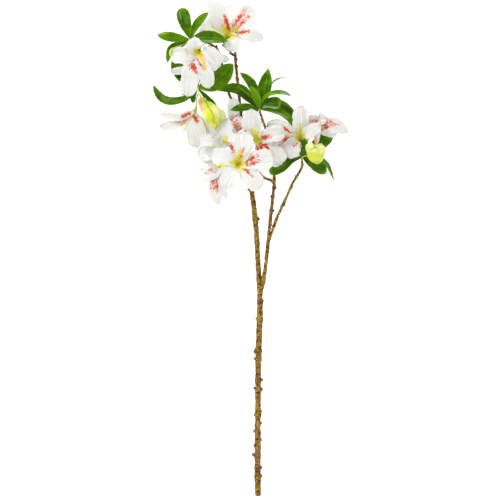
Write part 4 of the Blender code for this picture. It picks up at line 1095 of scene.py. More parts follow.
class Finish:
    """Builds one material's nodes a step at a time."""

    def __init__(self, name: str) -> None:
        """Starts a material with a Principled shader.

        Args:
            name: The name of the material.
        """
        self.material = bpy.data.materials.new(name)
        self.material.use_nodes = True
        self.nodes = self.material.node_tree.nodes
        self.links = self.material.node_tree.links
        self.shader = self.nodes["Principled BSDF"]

    def _feed(self, socket: bpy.types.NodeSocket, value: object) -> None:
        """Links a socket to another, or sets its own value.

        Args:
            socket: The socket that is fed.
            value: The socket to link it to, or its value.
        """
        if isinstance(value, bpy.types.NodeSocket):
            self.links.new(value, socket)
        elif isinstance(value, tuple) and len(value) == 3 and len(socket.default_value) == 4:
            socket.default_value = (*value, 1.0)
        else:
            socket.default_value = value

    def _add(self, kind: str, inputs: dict[int | str, object], **settings: object) -> bpy.types.Node:
        """Adds a node.

        Args:
            kind: The type of the node.
            inputs: Its sockets, by number or name, with values or sockets to link.
            **settings: Its own properties.

        Returns:
            The node.
        """
        node = self.nodes.new(kind)
        for name, value in settings.items():
            setattr(node, name, value)
        for key, value in inputs.items():
            self._feed(node.inputs[key], value)
        return node

    def place(self) -> Socket:
        """The place on the object, in metres."""
        return self._add("ShaderNodeTexCoord", {}).outputs["Object"]

    def lines(self) -> Socket:
        """The place on the map that runs along and across a petal or a leaf."""
        return self._add("ShaderNodeUVMap", {}, uv_map="lines").outputs["UV"]

    def field(self, name: str) -> Socket:
        """A value held at the points of the mesh."""
        return self._add("ShaderNodeAttribute", {}, attribute_name=name).outputs["Fac"]

    def stretched(self, vector: Socket, scale: Place, shift: Place = (0.0, 0.0, 0.0)) -> Socket:
        """A vector scaled along its axes, then moved."""
        inputs = {"Vector": vector, "Location": shift, "Scale": scale}
        return self._add("ShaderNodeMapping", inputs).outputs["Vector"]

    def noise(self, vector: Socket, scale: float, detail: float = 2.0, rough: float = 0.5) -> Socket:
        """A noise from 0 to 1."""
        inputs = {"Vector": vector, "Scale": scale, "Detail": detail, "Roughness": rough}
        return self._add("ShaderNodeTexNoise", inputs).outputs["Fac"]

    def math(self, operation: str, first: object, second: object = 0.0) -> Socket:
        """The result of one sum on two numbers."""
        return self._add("ShaderNodeMath", {0: first, 1: second}, operation=operation).outputs[0]

    def varied(self, value: object, by: object, depth: float) -> Socket:
        """A number raised and lowered by a noise, depth times as much as the noise leaves its middle."""
        return self.math("ADD", value, self.math("MULTIPLY", self.math("SUBTRACT", by, 0.5), depth))

    def span(self, value: object, low: float, high: float, to_low: float = 0.0, to_high: float = 1.0) -> Socket:
        """A number moved smoothly from one span to another, and kept inside it."""
        inputs = {"Value": value, "From Min": low, "From Max": high, "To Min": to_low, "To Max": to_high}
        return self._add("ShaderNodeMapRange", inputs, interpolation_type="SMOOTHSTEP").outputs["Result"]

    def split(self, vector: Socket) -> tuple[Socket, Socket]:
        """The first two numbers of a vector."""
        node = self._add("ShaderNodeSeparateXYZ", {"Vector": vector})
        return node.outputs["X"], node.outputs["Y"]

    def mix(self, share: object, first: object, second: object) -> Socket:
        """A colour between two others.

        Args:
            share: How much of the second colour there is, from 0 to 1.
            first: The first colour.
            second: The second colour.

        Returns:
            The mixed colour.
        """
        node = self._add("ShaderNodeMix", {}, data_type="RGBA")
        for name, value in (("Factor_Float", share), ("A_Color", first), ("B_Color", second)):
            socket = next(s for s in node.inputs if s.identifier == name)
            self._feed(socket, value)
        return next(s for s in node.outputs if s.identifier == "Result_Color")

    def layer(self, colour: object, value: object, low: float, high: float, most: float, tint: Colour) -> Socket:
        """A colour with a tint laid over it where a number goes from low to high, up to the share most."""
        return self.mix(self.span(value, low, high, 0.0, most), colour, tint)

    def bump(self, height: object, depth: float, strength: float) -> Socket:
        """A normal tilted by a height from 0 to 1, where 1 stands for depth in metres."""
        inputs = {"Height": height, "Distance": depth, "Strength": strength}
        return self._add("ShaderNodeBump", inputs).outputs["Normal"]

    def done(self, colour: object, roughness: object, normal: object, **plain: object) -> bpy.types.Material:
        """Links the shader.

        Args:
            colour: The base colour.
            roughness: The roughness.
            normal: The normal.
            **plain: Other sockets of the shader, by name with _ for a space, that keep one value all over.

        Returns:
            The finished material.
        """
        for name, value in (("Base Color", colour), ("Roughness", roughness), ("Normal", normal)):
            self._feed(self.shader.inputs[name], value)
        for name, value in plain.items():
            self._feed(self.shader.inputs[name.replace("_", " ")], value)
        return self.material


@dataclass(frozen=True)
class PetalFinish:
    """Off-white pressed fabric with faint veins, a yellow throat, strokes of coral red broken into dashes and
    painted shade where marked.
    """

    white: Colour = (0.80, 0.795, 0.775)
    shade: Colour = (0.62, 0.615, 0.57)
    # The colour of the painted shade on petals.
    grey: Colour = (0.44, 0.435, 0.355)
    yellow: Colour = (0.82, 0.70, 0.018)
    orange: Colour = (0.80, 0.36, 0.09)
    coral: Colour = (0.70, 0.115, 0.045)
    red: Colour = (0.50, 0.024, 0.012)
    pink: Colour = (0.82, 0.45, 0.33)
    olive: Colour = (0.17, 0.17, 0.014)

    def make(self, name: str) -> bpy.types.Material:
        """Builds the material.

        Args:
            name: The name of the material.

        Returns:
            The finished material.
        """
        make = Finish(name)
        lines = make.lines()
        streak = make.noise(make.stretched(lines, (0.55, 17.0, 1.0)), 1.0, 3.0, 0.55)
        vein = make.noise(make.stretched(lines, (0.9, 34.0, 1.0), (3.0, 1.7, 0.0)), 1.0, 2.0, 0.6)
        cloud = make.noise(make.place(), 75.0, 3.0)
        colour = make.mix(make.span(streak, 0.42, 0.78), self.white, self.shade)
        colour = make.layer(colour, cloud, 0.5, 0.85, 0.5, self.shade)
        # Painted shade: darkens the petal where the shade marks and the flower's tint lie.
        colour = make.mix(make.math("MULTIPLY", make.field("grey"), 0.75), colour, self.grey)
        soft = make.math("MULTIPLY", make.math("SUBTRACT", streak, 0.5), 0.5)
        yellow = make.math("ADD", make.field("yellow"), make.math("MULTIPLY", soft, make.field("yellow")))
        colour = make.layer(colour, yellow, 0.08, 0.7, 0.98, self.yellow)
        broad = make.noise(make.stretched(lines, (2.2, 9.5, 1.0), (0.4, 0.2, 0.0)), 1.0, 1.0, 0.5)
        fine = make.noise(make.stretched(lines, (3.6, 20.0, 1.0), (1.4, 3.2, 0.0)), 1.0, 2.0, 0.6)
        dash = make.math("ADD", make.math("MULTIPLY", broad, 0.5), make.math("MULTIPLY", fine, 0.5))
        broken = make.span(dash, 0.41, 0.57)
        orange = make.math("SUBTRACT", make.field("orange"), make.math("MULTIPLY", broken, 0.6))
        colour = make.layer(colour, orange, 0.02, 0.5, 0.85, self.orange)
        red = make.field("red")
        halo = make.math("SUBTRACT", red, make.math("MULTIPLY", broken, 0.45))
        colour = make.layer(colour, halo, 0.02, 0.75, 0.66, self.pink)
        strokes = make.math("SUBTRACT", red, broken)
        colour = make.layer(colour, strokes, 0.01, 0.18, 0.96, self.coral)
        colour = make.layer(colour, strokes, 0.12, 0.5, 0.85, self.red)
        colour = make.layer(colour, make.field("dark"), 0.1, 0.9, 0.92, self.olive)
        rough = make.span(cloud, 0.3, 0.7, 0.5, 0.68)
        normal = make.bump(make.math("ADD", streak, make.math("MULTIPLY", vein, 0.5)), 0.24 * MM, 0.8)
        return make.done(colour, rough, normal, Specular_IOR_Level=0.2, Subsurface_Weight=0.22,
                         Subsurface_Radius=(1.0, 0.97, 0.9), Subsurface_Scale=4 * MM)


@dataclass(frozen=True)
class LeafFinish:
    """Moulded glossy leaf: saturated green, paler veins, yellow-green at the margin, duller underneath, with
    painted shade over one half and in marked places, and painted gloss where marked.
    """

    deep: Colour = (0.022, 0.082, 0.0)
    full: Colour = (0.076, 0.21, 0.0)
    fresh: Colour = (0.145, 0.34, 0.001)
    rim: Colour = (0.38, 0.48, 0.02)
    # A pale bluish green that paints reflections where marked.
    painted_gloss: Colour = (0.27, 0.36, 0.27)
    # The colour of painted shade where leaves lie under or between others.
    olive: Colour = (0.040, 0.045, 0.004)
    below: Colour = (0.050, 0.105, 0.008)
    ribs: float = 1.67  # to a centimetre

    def make(self, name: str) -> bpy.types.Material:
        """Builds the material.

        Args:
            name: The name of the material.

        Returns:
            The finished material.
        """
        make = Finish(name)
        lines, place = make.lines(), make.place()
        cloud = make.noise(place, 60.0, 4.0, 0.6)
        fine = make.noise(place, 420.0, 3.0, 0.6)
        along, across = make.split(lines)
        wide = make.math("ABSOLUTE", across)
        colour = make.mix(make.span(cloud, 0.3, 0.7), self.deep, self.full)
        fresh = make.math("ADD", make.field("fresh"), make.span(cloud, 0.4, 0.8, -0.1, 0.25))
        colour = make.mix(make.span(fresh, 0.2, 1.15), colour, self.fresh)
        slant = make.math("MULTIPLY", wide, Blade.VEIN_SLANT)
        slant = make.math("SUBTRACT", make.math("MULTIPLY", along, self.ribs), slant)
        ribs = make.math("PINGPONG", slant, 0.5)
        rib = make.span(ribs, 0.0, 0.09, 1.0, 0.0)
        mid = make.span(wide, 0.0, 0.06, 1.0, 0.0)
        lit = make.math("MAXIMUM", make.math("MULTIPLY", rib, 0.3), make.math("MULTIPLY", mid, 0.75))
        # Painted shade: one half of each leaf, on one side of the midrib, is darkened as if turned from the light.
        painted_half_shade = make.math("MULTIPLY", make.span(across, 0.1, 0.7, 0.4, 0.0), make.span(wide, 0.03, 0.2))
        colour = make.mix(painted_half_shade, colour, self.deep)
        colour = make.layer(colour, along, 0.9, 0.1, 0.6, self.deep)
        colour = make.mix(lit, colour, self.fresh)
        edge = make.math("ADD", make.field("edge"), make.span(fine, 0.35, 0.75, -0.25, 0.1))
        colour = make.layer(colour, edge, 0.25, 0.7, 0.55, self.fresh)
        colour = make.layer(colour, edge, 0.6, 1.05, 0.8, self.rim)
        colour = make.layer(colour, make.field("yellow"), 0.1, 0.9, 0.8, self.rim)
        # Painted shade: the orange marks on a leaf lay dark olive where leaves shade each other.
        colour = make.layer(colour, make.field("orange"), 0.1, 0.9, 0.85, self.olive)
        # Painted gloss: marked places get a pale sheen that stands in for reflections.
        painted_gloss_mask = make.math("SUBTRACT", make.field("grey"), make.span(fine, 0.4, 0.65, 0.0, 0.3))
        colour = make.layer(colour, painted_gloss_mask, 0.05, 0.8, 0.8, self.painted_gloss)
        colour = make.layer(colour, make.field("under"), 0.4, 0.9, 0.85, self.below)
        rough = make.span(cloud, 0.3, 0.75, 0.18, 0.34)
        height = make.math("ADD", make.math("MULTIPLY", rib, -0.5), make.math("MULTIPLY", fine, 0.25))
        return make.done(colour, rough, make.bump(height, 0.2 * MM, 0.8), Specular_IOR_Level=0.2,
                         Specular_Tint=(0.80, 1.0, 0.35))


@dataclass(frozen=True)
class BudFinish:
    """Lime and lemon bud with fine pale and dark grooves, blushed and yellowed where marked, with painted shade in
    marked creases.
    """

    lime: Colour = (0.50, 0.60, 0.03)
    lemon: Colour = (0.74, 0.74, 0.16)
    pale: Colour = (0.82, 0.84, 0.42)
    groove: Colour = (0.22, 0.28, 0.008)
    yellow: Colour = (0.66, 0.68, 0.006)
    blush: Colour = (0.82, 0.30, 0.16)

    def make(self, name: str) -> bpy.types.Material:
        """Builds the material.

        Args:
            name: The name of the material.

        Returns:
            The finished material.
        """
        make = Finish(name)
        lines = make.lines()
        groove = make.noise(make.stretched(lines, (0.5, 30.0, 1.0)), 1.0, 3.0, 0.6)
        cloud = make.noise(make.place(), 70.0, 3.0)
        colour = make.mix(make.span(cloud, 0.35, 0.7), self.lime, self.lemon)
        colour = make.layer(colour, groove, 0.5, 0.8, 0.7, self.pale)
        colour = make.layer(colour, groove, 0.42, 0.28, 0.6, self.groove)
        colour = make.layer(colour, make.field("pale"), 0.05, 0.8, 0.85, self.pale)
        colour = make.layer(colour, make.field("yellow"), 0.05, 0.8, 0.9, self.yellow)
        # Painted shade: the marked creases and edges of a bud are darkened towards the groove colour.
        colour = make.layer(colour, make.field("grey"), 0.1, 1.0, 0.8, self.groove)
        speck = make.noise(make.place(), 520.0, 2.0, 0.7)
        broken = make.varied(make.math("SUBTRACT", groove, 0.5), speck, 2.0)
        blush = make.math("ADD", make.field("orange"), make.math("MULTIPLY", broken, make.field("orange")))
        colour = make.layer(colour, blush, 0.15, 1.2, 0.85, self.blush)
        return make.done(colour, make.span(cloud, 0.3, 0.7, 0.42, 0.6), make.bump(groove, 0.35 * MM, 0.9))


@dataclass(frozen=True)
class StalkFinish:
    """Thin green stalk or calyx that pales towards the flower."""

    green: Colour = (0.24, 0.36, 0.03)
    pale: Colour = (0.62, 0.60, 0.14)

    def make(self, name: str) -> bpy.types.Material:
        """Builds the material.

        Args:
            name: The name of the material.

        Returns:
            The finished material.
        """
        make = Finish(name)
        streak = make.noise(make.stretched(make.lines(), (0.6, 6.0, 1.0)), 1.0, 2.0)
        share = make.math("ADD", make.field("edge"), make.math("SUBTRACT", streak, 0.5))
        colour = make.mix(make.span(share, 0.1, 1.1), self.green, self.pale)
        return make.done(colour, make.span(streak, 0.3, 0.7, 0.45, 0.62), make.bump(streak, 0.2 * MM, 0.8))


@dataclass(frozen=True)
class BarkFinish:
    """Painted bark: yellow-olive tops over brown creases, with mauve patches, dark specks, one red band and
    painted shade that browns the sides of each limb.
    """

    olive: Colour = (0.25, 0.145, 0.008)
    ochre: Colour = (0.50, 0.33, 0.038)
    brown: Colour = (0.075, 0.028, 0.005)
    mauve: Colour = (0.27, 0.135, 0.085)
    rust: Colour = (0.24, 0.045, 0.010)
    young: Colour = (0.115, 0.042, 0.014)
    redden: float = 0.0

    def make(self, name: str) -> bpy.types.Material:
        """Builds the material.

        Args:
            name: The name of the material.

        Returns:
            The finished material.
        """
        make = Finish(name)
        place = make.place()
        long = make.stretched(place, (1.0, 0.24, 1.0))
        patch = make.noise(long, 320.0, 4.0, 0.62)
        grain = make.noise(make.stretched(place, (1.0, 0.14, 1.0)), 800.0, 3.0, 0.7)
        speck = make.noise(place, 430.0, 3.0, 0.7)
        colour = make.mix(make.span(patch, 0.40, 0.58), self.olive, self.ochre)
        colour = make.layer(colour, make.noise(long, 240.0, 3.0), 0.46, 0.57, 0.75, self.mauve)
        colour = make.layer(colour, speck, 0.52, 0.64, 0.8, self.brown)
        colour = make.layer(colour, grain, 0.50, 0.66, 0.75, self.brown)
        creased = make.varied(make.field("scar"), grain, 1.4)
        colour = make.layer(colour, creased, 0.2, 0.8, 0.9, self.brown)
        # Painted shade: the sides of each limb, facing away from up, are darkened brown.
        side = make.varied(make.field("painted_shade_facing"), patch, 1.6)
        colour = make.layer(colour, side, 0.82, 0.16, 0.85, self.brown)
        colour = make.layer(colour, make.math("MULTIPLY", make.field("red"), patch), 0.15, 0.5, 0.8, self.rust)
        if self.redden > 0:
            colour = make.mix(self.redden, colour, self.young)
        height = make.math("ADD", make.math("MULTIPLY", grain, 0.7), make.math("MULTIPLY", speck, 0.7))
        rough = make.span(patch, 0.3, 0.7, 0.5, 0.75)
        return make.done(colour, rough, make.bump(height, 0.8 * MM, 1.0), Specular_IOR_Level=0.16,
                         Specular_Tint=(1.0, 0.75, 0.35))


@dataclass(frozen=True)
class PlainFinish:
    """One colour with a fine mottle, for filaments and anthers, and white where a thread is bare."""

    colour: Colour
    dark: Colour
    white: Colour = (0.58, 0.57, 0.54)
    scale: float = 600.0

    def make(self, name: str) -> bpy.types.Material:
        """Builds the material.

        Args:
            name: The name of the material.

        Returns:
            The finished material.
        """
        make = Finish(name)
        mottle = make.noise(make.place(), self.scale, 3.0, 0.6)
        colour = make.mix(make.span(mottle, 0.35, 0.7), self.colour, self.dark)
        colour = make.mix(make.field("red"), colour, self.white)
        return make.done(colour, make.span(mottle, 0.3, 0.7, 0.44, 0.58), make.bump(mottle, 0.1 * MM, 0.6))


class Threads:
    """Polylines that a Geometry Nodes tree turns into limbs or filaments."""

    def __init__(self, name: str) -> None:
        """Starts an empty set of lines.

        Args:
            name: The name of the object that they become.
        """
        self.name = name
        self.points: list[Vec] = []
        self.edges: list[Vec] = []
        self.aims: list[Vec] = []
        self.values: dict[str, list[Vec]] = {"girth": [], "tip": [], "band": [], "red": []}
        self.count = 0

    def add(self, points: Vec, girth: Vec, tip: bool = False, band: Optional[Vec] = None,
            red: Optional[Vec] = None) -> None:
        """Adds one line.

        Args:
            points: Its points, one a row.
            girth: The radius at each of them, in metres.
            tip: Whether something stands on its last point.
            band: How deep a dark scar is at each point, from 0 to 1.
            red: How red the limb is at each point, from 0 to 1.
        """
        size = len(points)
        on_tip = np.concatenate([np.zeros(size - 1), [float(tip)]])
        for name, values in (("girth", girth), ("tip", on_tip), ("band", band), ("red", red)):
            self.values[name].append(np.zeros(size) if values is None else values)
        self.points.append(points)
        self.aims.append(unit(np.gradient(points, axis=0)))
        self.edges.append(np.stack([np.arange(size - 1), np.arange(1, size)], axis=1) + self.count)
        self.count += size

    def object(self) -> bpy.types.Object:
        """Makes an object of loose edges, with girth, tip, band, red and aim at each point.

        Returns:
            The object, linked to the scene.
        """
        mesh = bpy.data.meshes.new(self.name)
        mesh.from_pydata(np.concatenate(self.points).tolist(), np.concatenate(self.edges).tolist(), [])
        for name, values in self.values.items():
            numbers = np.concatenate(values).astype(np.float32)
            mesh.attributes.new(name, "FLOAT", "POINT").data.foreach_set("value", numbers)
        aims = mesh.attributes.new("aim", "FLOAT_VECTOR", "POINT")
        aims.data.foreach_set("vector", np.concatenate(self.aims).astype(np.float32).ravel())
        return new_object(self.name, mesh)


class Tree:
    """A Geometry Nodes tree built in the script, with named inputs."""

    def __init__(self, name: str, inputs: dict[str, str]) -> None:
        """Starts the tree.

        Args:
            name: The name of the tree.
            inputs: Each named input's kind of value.
        """
        self.group = bpy.data.node_groups.new(name, "GeometryNodeTree")
        face = self.group.interface
        face.new_socket("Geometry", in_out="INPUT", socket_type="NodeSocketGeometry")
        self.inputs: dict[str, str] = {}
        for label, kind in inputs.items():
            socket = face.new_socket(label, in_out="INPUT", socket_type="NodeSocket" + kind)
            self.inputs[label] = socket.identifier
        face.new_socket("Geometry", in_out="OUTPUT", socket_type="NodeSocketGeometry")
        self.start = self.group.nodes.new("NodeGroupInput")
        self.end = self.group.nodes.new("NodeGroupOutput")

    def given(self, label: str) -> Socket:
        """The socket of a named input inside the tree."""
        return self.start.outputs[label]

    def add(self, kind: str, inputs: dict[int | str, object], **settings: object) -> bpy.types.Node:
        """Adds a node.

        Args:
            kind: The type of the node.
            inputs: Its sockets, by number or name, with values or sockets to link.
            **settings: Its own properties.

        Returns:
            The node.
        """
        node = self.group.nodes.new(kind)
        for name, value in settings.items():
            setattr(node, name, value)
        for key, value in inputs.items():
            if isinstance(value, bpy.types.NodeSocket):
                self.group.links.new(value, node.inputs[key])
            else:
                node.inputs[key].default_value = value
        return node

    def named(self, name: str, kind: str = "FLOAT") -> Socket:
        """An attribute of the geometry."""
        return self.add("GeometryNodeInputNamedAttribute", {"Name": name}, data_type=kind).outputs["Attribute"]

    def math(self, operation: str, first: object, second: object) -> Socket:
        """The result of one sum on two numbers."""
        return self.add("ShaderNodeMath", {0: first, 1: second}, operation=operation).outputs[0]

    def stretched(self, vector: Socket, scale: Place) -> Socket:
        """A vector scaled along its axes."""
        return self.add("ShaderNodeVectorMath", {0: vector, 1: scale}, operation="MULTIPLY").outputs[0]

    def stored(self, geometry: Socket, name: str, value: object) -> Socket:
        """A geometry with a number kept at each of its points."""
        inputs = {"Geometry": geometry, "Name": name, "Value": value}
        return self.add("GeometryNodeStoreNamedAttribute", inputs, data_type="FLOAT", domain="POINT").outputs[0]

    def dressed(self, geometry: Socket, label: str) -> Socket:
        """A geometry with the finish that a named input gives."""
        inputs = {"Geometry": geometry, "Material": self.given(label)}
        return self.add("GeometryNodeSetMaterial", inputs).outputs[0]

    def joined(self, *parts: Socket) -> Socket:
        """Joins geometries.

        Args:
            *parts: The geometries.

        Returns:
            All of them as one.
        """
        node = self.add("GeometryNodeJoinGeometry", {})
        for part in parts:
            self.group.links.new(part, node.inputs[0])
        return node.outputs[0]

    def tubes(self) -> Socket:
        """Turns the lines that the tree is given into closed round tubes of their girth.

        Returns:
            The tubes.
        """
        lines = self.add("GeometryNodeMeshToCurve", {"Mesh": self.given("Geometry")})
        ring = self.add("GeometryNodeCurvePrimitiveCircle", {"Resolution": self.given("Sides"), "Radius": 1.0})
        inputs = {"Curve": lines.outputs[0], "Profile Curve": ring.outputs[0], "Scale": self.named("girth")}
        return self.add("GeometryNodeCurveToMesh", {**inputs, "Fill Caps": True}).outputs[0]

    def finish(self, geometry: Socket) -> None:
        """Shades the last geometry smooth and links it to the output."""
        smooth = self.add("GeometryNodeSetShadeSmooth", {"Geometry": geometry})
        self.group.links.new(smooth.outputs[0], self.end.inputs[0])

    def grow(self, host: bpy.types.Object, name: str, values: dict[str, object]) -> bpy.types.Object:
        """Runs the tree on an object and keeps the result as a plain mesh.

        Args:
            host: The object that it runs on, which is then removed.
            name: The name of the piece.
            values: The value of each named input.

        Returns:
            The finished piece.
        """
        modifier = host.modifiers.new(self.group.name, "NODES")
        modifier.node_group = self.group
        for label, value in values.items():
            modifier[self.inputs[label]] = value
        bpy.context.view_layer.update()
        graph = bpy.context.evaluated_depsgraph_get()
        mesh = bpy.data.meshes.new_from_object(host.evaluated_get(graph))
        mesh.name = name
        bpy.data.objects.remove(host, do_unlink=True)
        return new_object(name, mesh)


class BarkTree(Tree):
    """Turns lines into limbs with lumps, creases, grain and small warts."""

    LONG, BROAD, THREAD = (1.0, 0.7, 1.0), (0.75, 1.25, 0.75), (1.0, 0.2, 1.0)
    LUMP_MIDDLE = 0.47
    CREASE_LOW, CREASE_HIGH = 0.46, 0.82
    GRAIN_SCALE, GRAIN_DEPTH = 620.0, 0.35 * MM
    # Warts take a middling share of the painted side shade.
    WART_CROWN, WART_LEAST, WART_FLAT = 0.55, 0.4, 0.8

    def __init__(self) -> None:
        """Builds the tree."""
        super().__init__("bark_relief", {
            "Sides": "Int", "Lump Height": "Float", "Lump Scale": "Float", "Crease Depth": "Float",
            "Crease Scale": "Float", "Warts": "Float", "Wart Size": "Float", "Seed": "Int", "Bark": "Material"})
        add = self.add
        place = add("GeometryNodeInputPosition", {}).outputs[0]
        lumps = add("ShaderNodeTexNoise", {"Vector": self.stretched(place, self.LONG), "Detail": 2.0,
                                           "Scale": self.given("Lump Scale"), "Roughness": 0.45})
        cells = add("ShaderNodeTexVoronoi", {"Vector": self.stretched(place, self.BROAD),
                                             "Scale": self.given("Crease Scale"), "Randomness": 1.0})
        grain = add("ShaderNodeTexNoise", {"Vector": self.stretched(place, self.THREAD), "Detail": 3.0,
                                           "Scale": self.GRAIN_SCALE, "Roughness": 0.6})
        crease = add("ShaderNodeMapRange", {"Value": cells.outputs["Distance"], "From Min": self.CREASE_LOW,
                                            "From Max": self.CREASE_HIGH}, interpolation_type="SMOOTHSTEP")
        scar = self.math("MAXIMUM", crease.outputs["Result"], self.named("band"))
        low = self.math("SUBTRACT", lumps.outputs["Fac"], self.LUMP_MIDDLE)
        swell = self.math("MULTIPLY", low, self.given("Lump Height"))
        drop = self.math("MULTIPLY", scar, self.given("Crease Depth"))
        fine = self.math("MULTIPLY", grain.outputs["Fac"], self.GRAIN_DEPTH)
        height = self.math("ADD", self.math("SUBTRACT", swell, drop), fine)
        normal = add("GeometryNodeInputNormal", {}).outputs[0]
        push = add("ShaderNodeVectorMath", {0: normal, "Scale": height}, operation="SCALE").outputs[0]
        scarred = self.stored(self.tubes(), "scar", scar)
        # Keeps how far each point faces up, which the bark finish turns into painted shade on the sides.
        with_shade_facing = self.stored(scarred, "painted_shade_facing", add("ShaderNodeSeparateXYZ", {0: normal}).outputs["Z"])
        bark = add("GeometryNodeSetPosition", {"Geometry": with_shade_facing, "Offset": push}).outputs[0]
        ball = add("GeometryNodeMeshIcoSphere", {"Radius": 1.0, "Subdivisions": 1}).outputs[0]
        wart = self.stored(ball, "painted_shade_facing", self.WART_CROWN)
        seed = self.given("Seed")
        spots = add("GeometryNodeDistributePointsOnFaces", {
            "Mesh": bark, "Density": self.given("Warts"), "Seed": seed})
        grown = add("FunctionNodeRandomValue", {2: self.WART_LEAST, 3: 1.0, "Seed": seed}, data_type="FLOAT")
        wide = self.math("MULTIPLY", grown.outputs[1], self.given("Wart Size"))
        tall = self.math("MULTIPLY", wide, self.WART_FLAT)
        size = add("ShaderNodeCombineXYZ", {"X": wide, "Y": wide, "Z": tall}).outputs[0]
        warts = add("GeometryNodeInstanceOnPoints", {
            "Points": spots.outputs["Points"], "Instance": wart, "Rotation": spots.outputs["Rotation"],
            "Scale": size})
        real = add("GeometryNodeRealizeInstances", {"Geometry": self.joined(warts.outputs[0], bark)}).outputs[0]
        self.finish(self.dressed(real, "Bark"))


class StamenTree(Tree):
    """Turns lines into filaments, each with an anther on its tip."""

    def __init__(self) -> None:
        """Builds the tree."""
        super().__init__("stamens", {
            "Sides": "Int", "Anther Length": "Float", "Anther Width": "Float", "Filament": "Material",
            "Anther": "Material"})
        add = self.add
        wide = self.given("Anther Width")
        size = add("ShaderNodeCombineXYZ", {"X": wide, "Y": wide, "Z": self.given("Anther Length")}).outputs[0]
        ball = add("GeometryNodeMeshUVSphere", {"Segments": 8, "Rings": 5, "Radius": 1.0}).outputs[0]
        turn = add("FunctionNodeAlignRotationToVector", {"Vector": self.named("aim", "FLOAT_VECTOR")}, axis="Z")
        on_tip = add("FunctionNodeCompare", {0: self.named("tip"), 1: 0.5}, data_type="FLOAT",
                     operation="GREATER_THAN")
        anthers = add("GeometryNodeInstanceOnPoints", {
            "Points": self.given("Geometry"), "Selection": on_tip.outputs[0], "Instance": ball,
            "Rotation": turn.outputs[0], "Scale": size})
        real = add("GeometryNodeRealizeInstances", {"Geometry": anthers.outputs[0]}).outputs[0]
        self.finish(self.joined(self.dressed(real, "Anther"), self.dressed(self.tubes(), "Filament")))


def dress(piece: bpy.types.Object, slot: str, node: str = "") -> None:
    """Lets a finished piece rest on the floor where it would dip into it, and fixes it to the branch.

    Args:
        piece: The piece, at the origin.
        slot: The name of a material slot in the record, which is only logged.
        node: The solid that it stands for, if any.
    """
    points = np.empty(3 * len(piece.data.vertices), np.float32)
    piece.data.vertices.foreach_get("co", points)
    points[2::3] = np.maximum(points[2::3], 0.0)
    piece.data.vertices.foreach_set("co", points)
    piece.data.update()
    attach(piece, "root")
    if node:
        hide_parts(node)
    LOG.info("%s: %d faces, %s", piece.name, len(piece.data.polygons), slot)


STUB_SHARES = (0, 0.45, 0.75, 0.9, 0.94, 0.975, 0.993, 1.0)  # along an old stub, and below how thick it is there
STUB_GIRTHS = (1.4, 1.15, 1.0, 0.98, 0.9, 0.74, 0.5, 0.2)


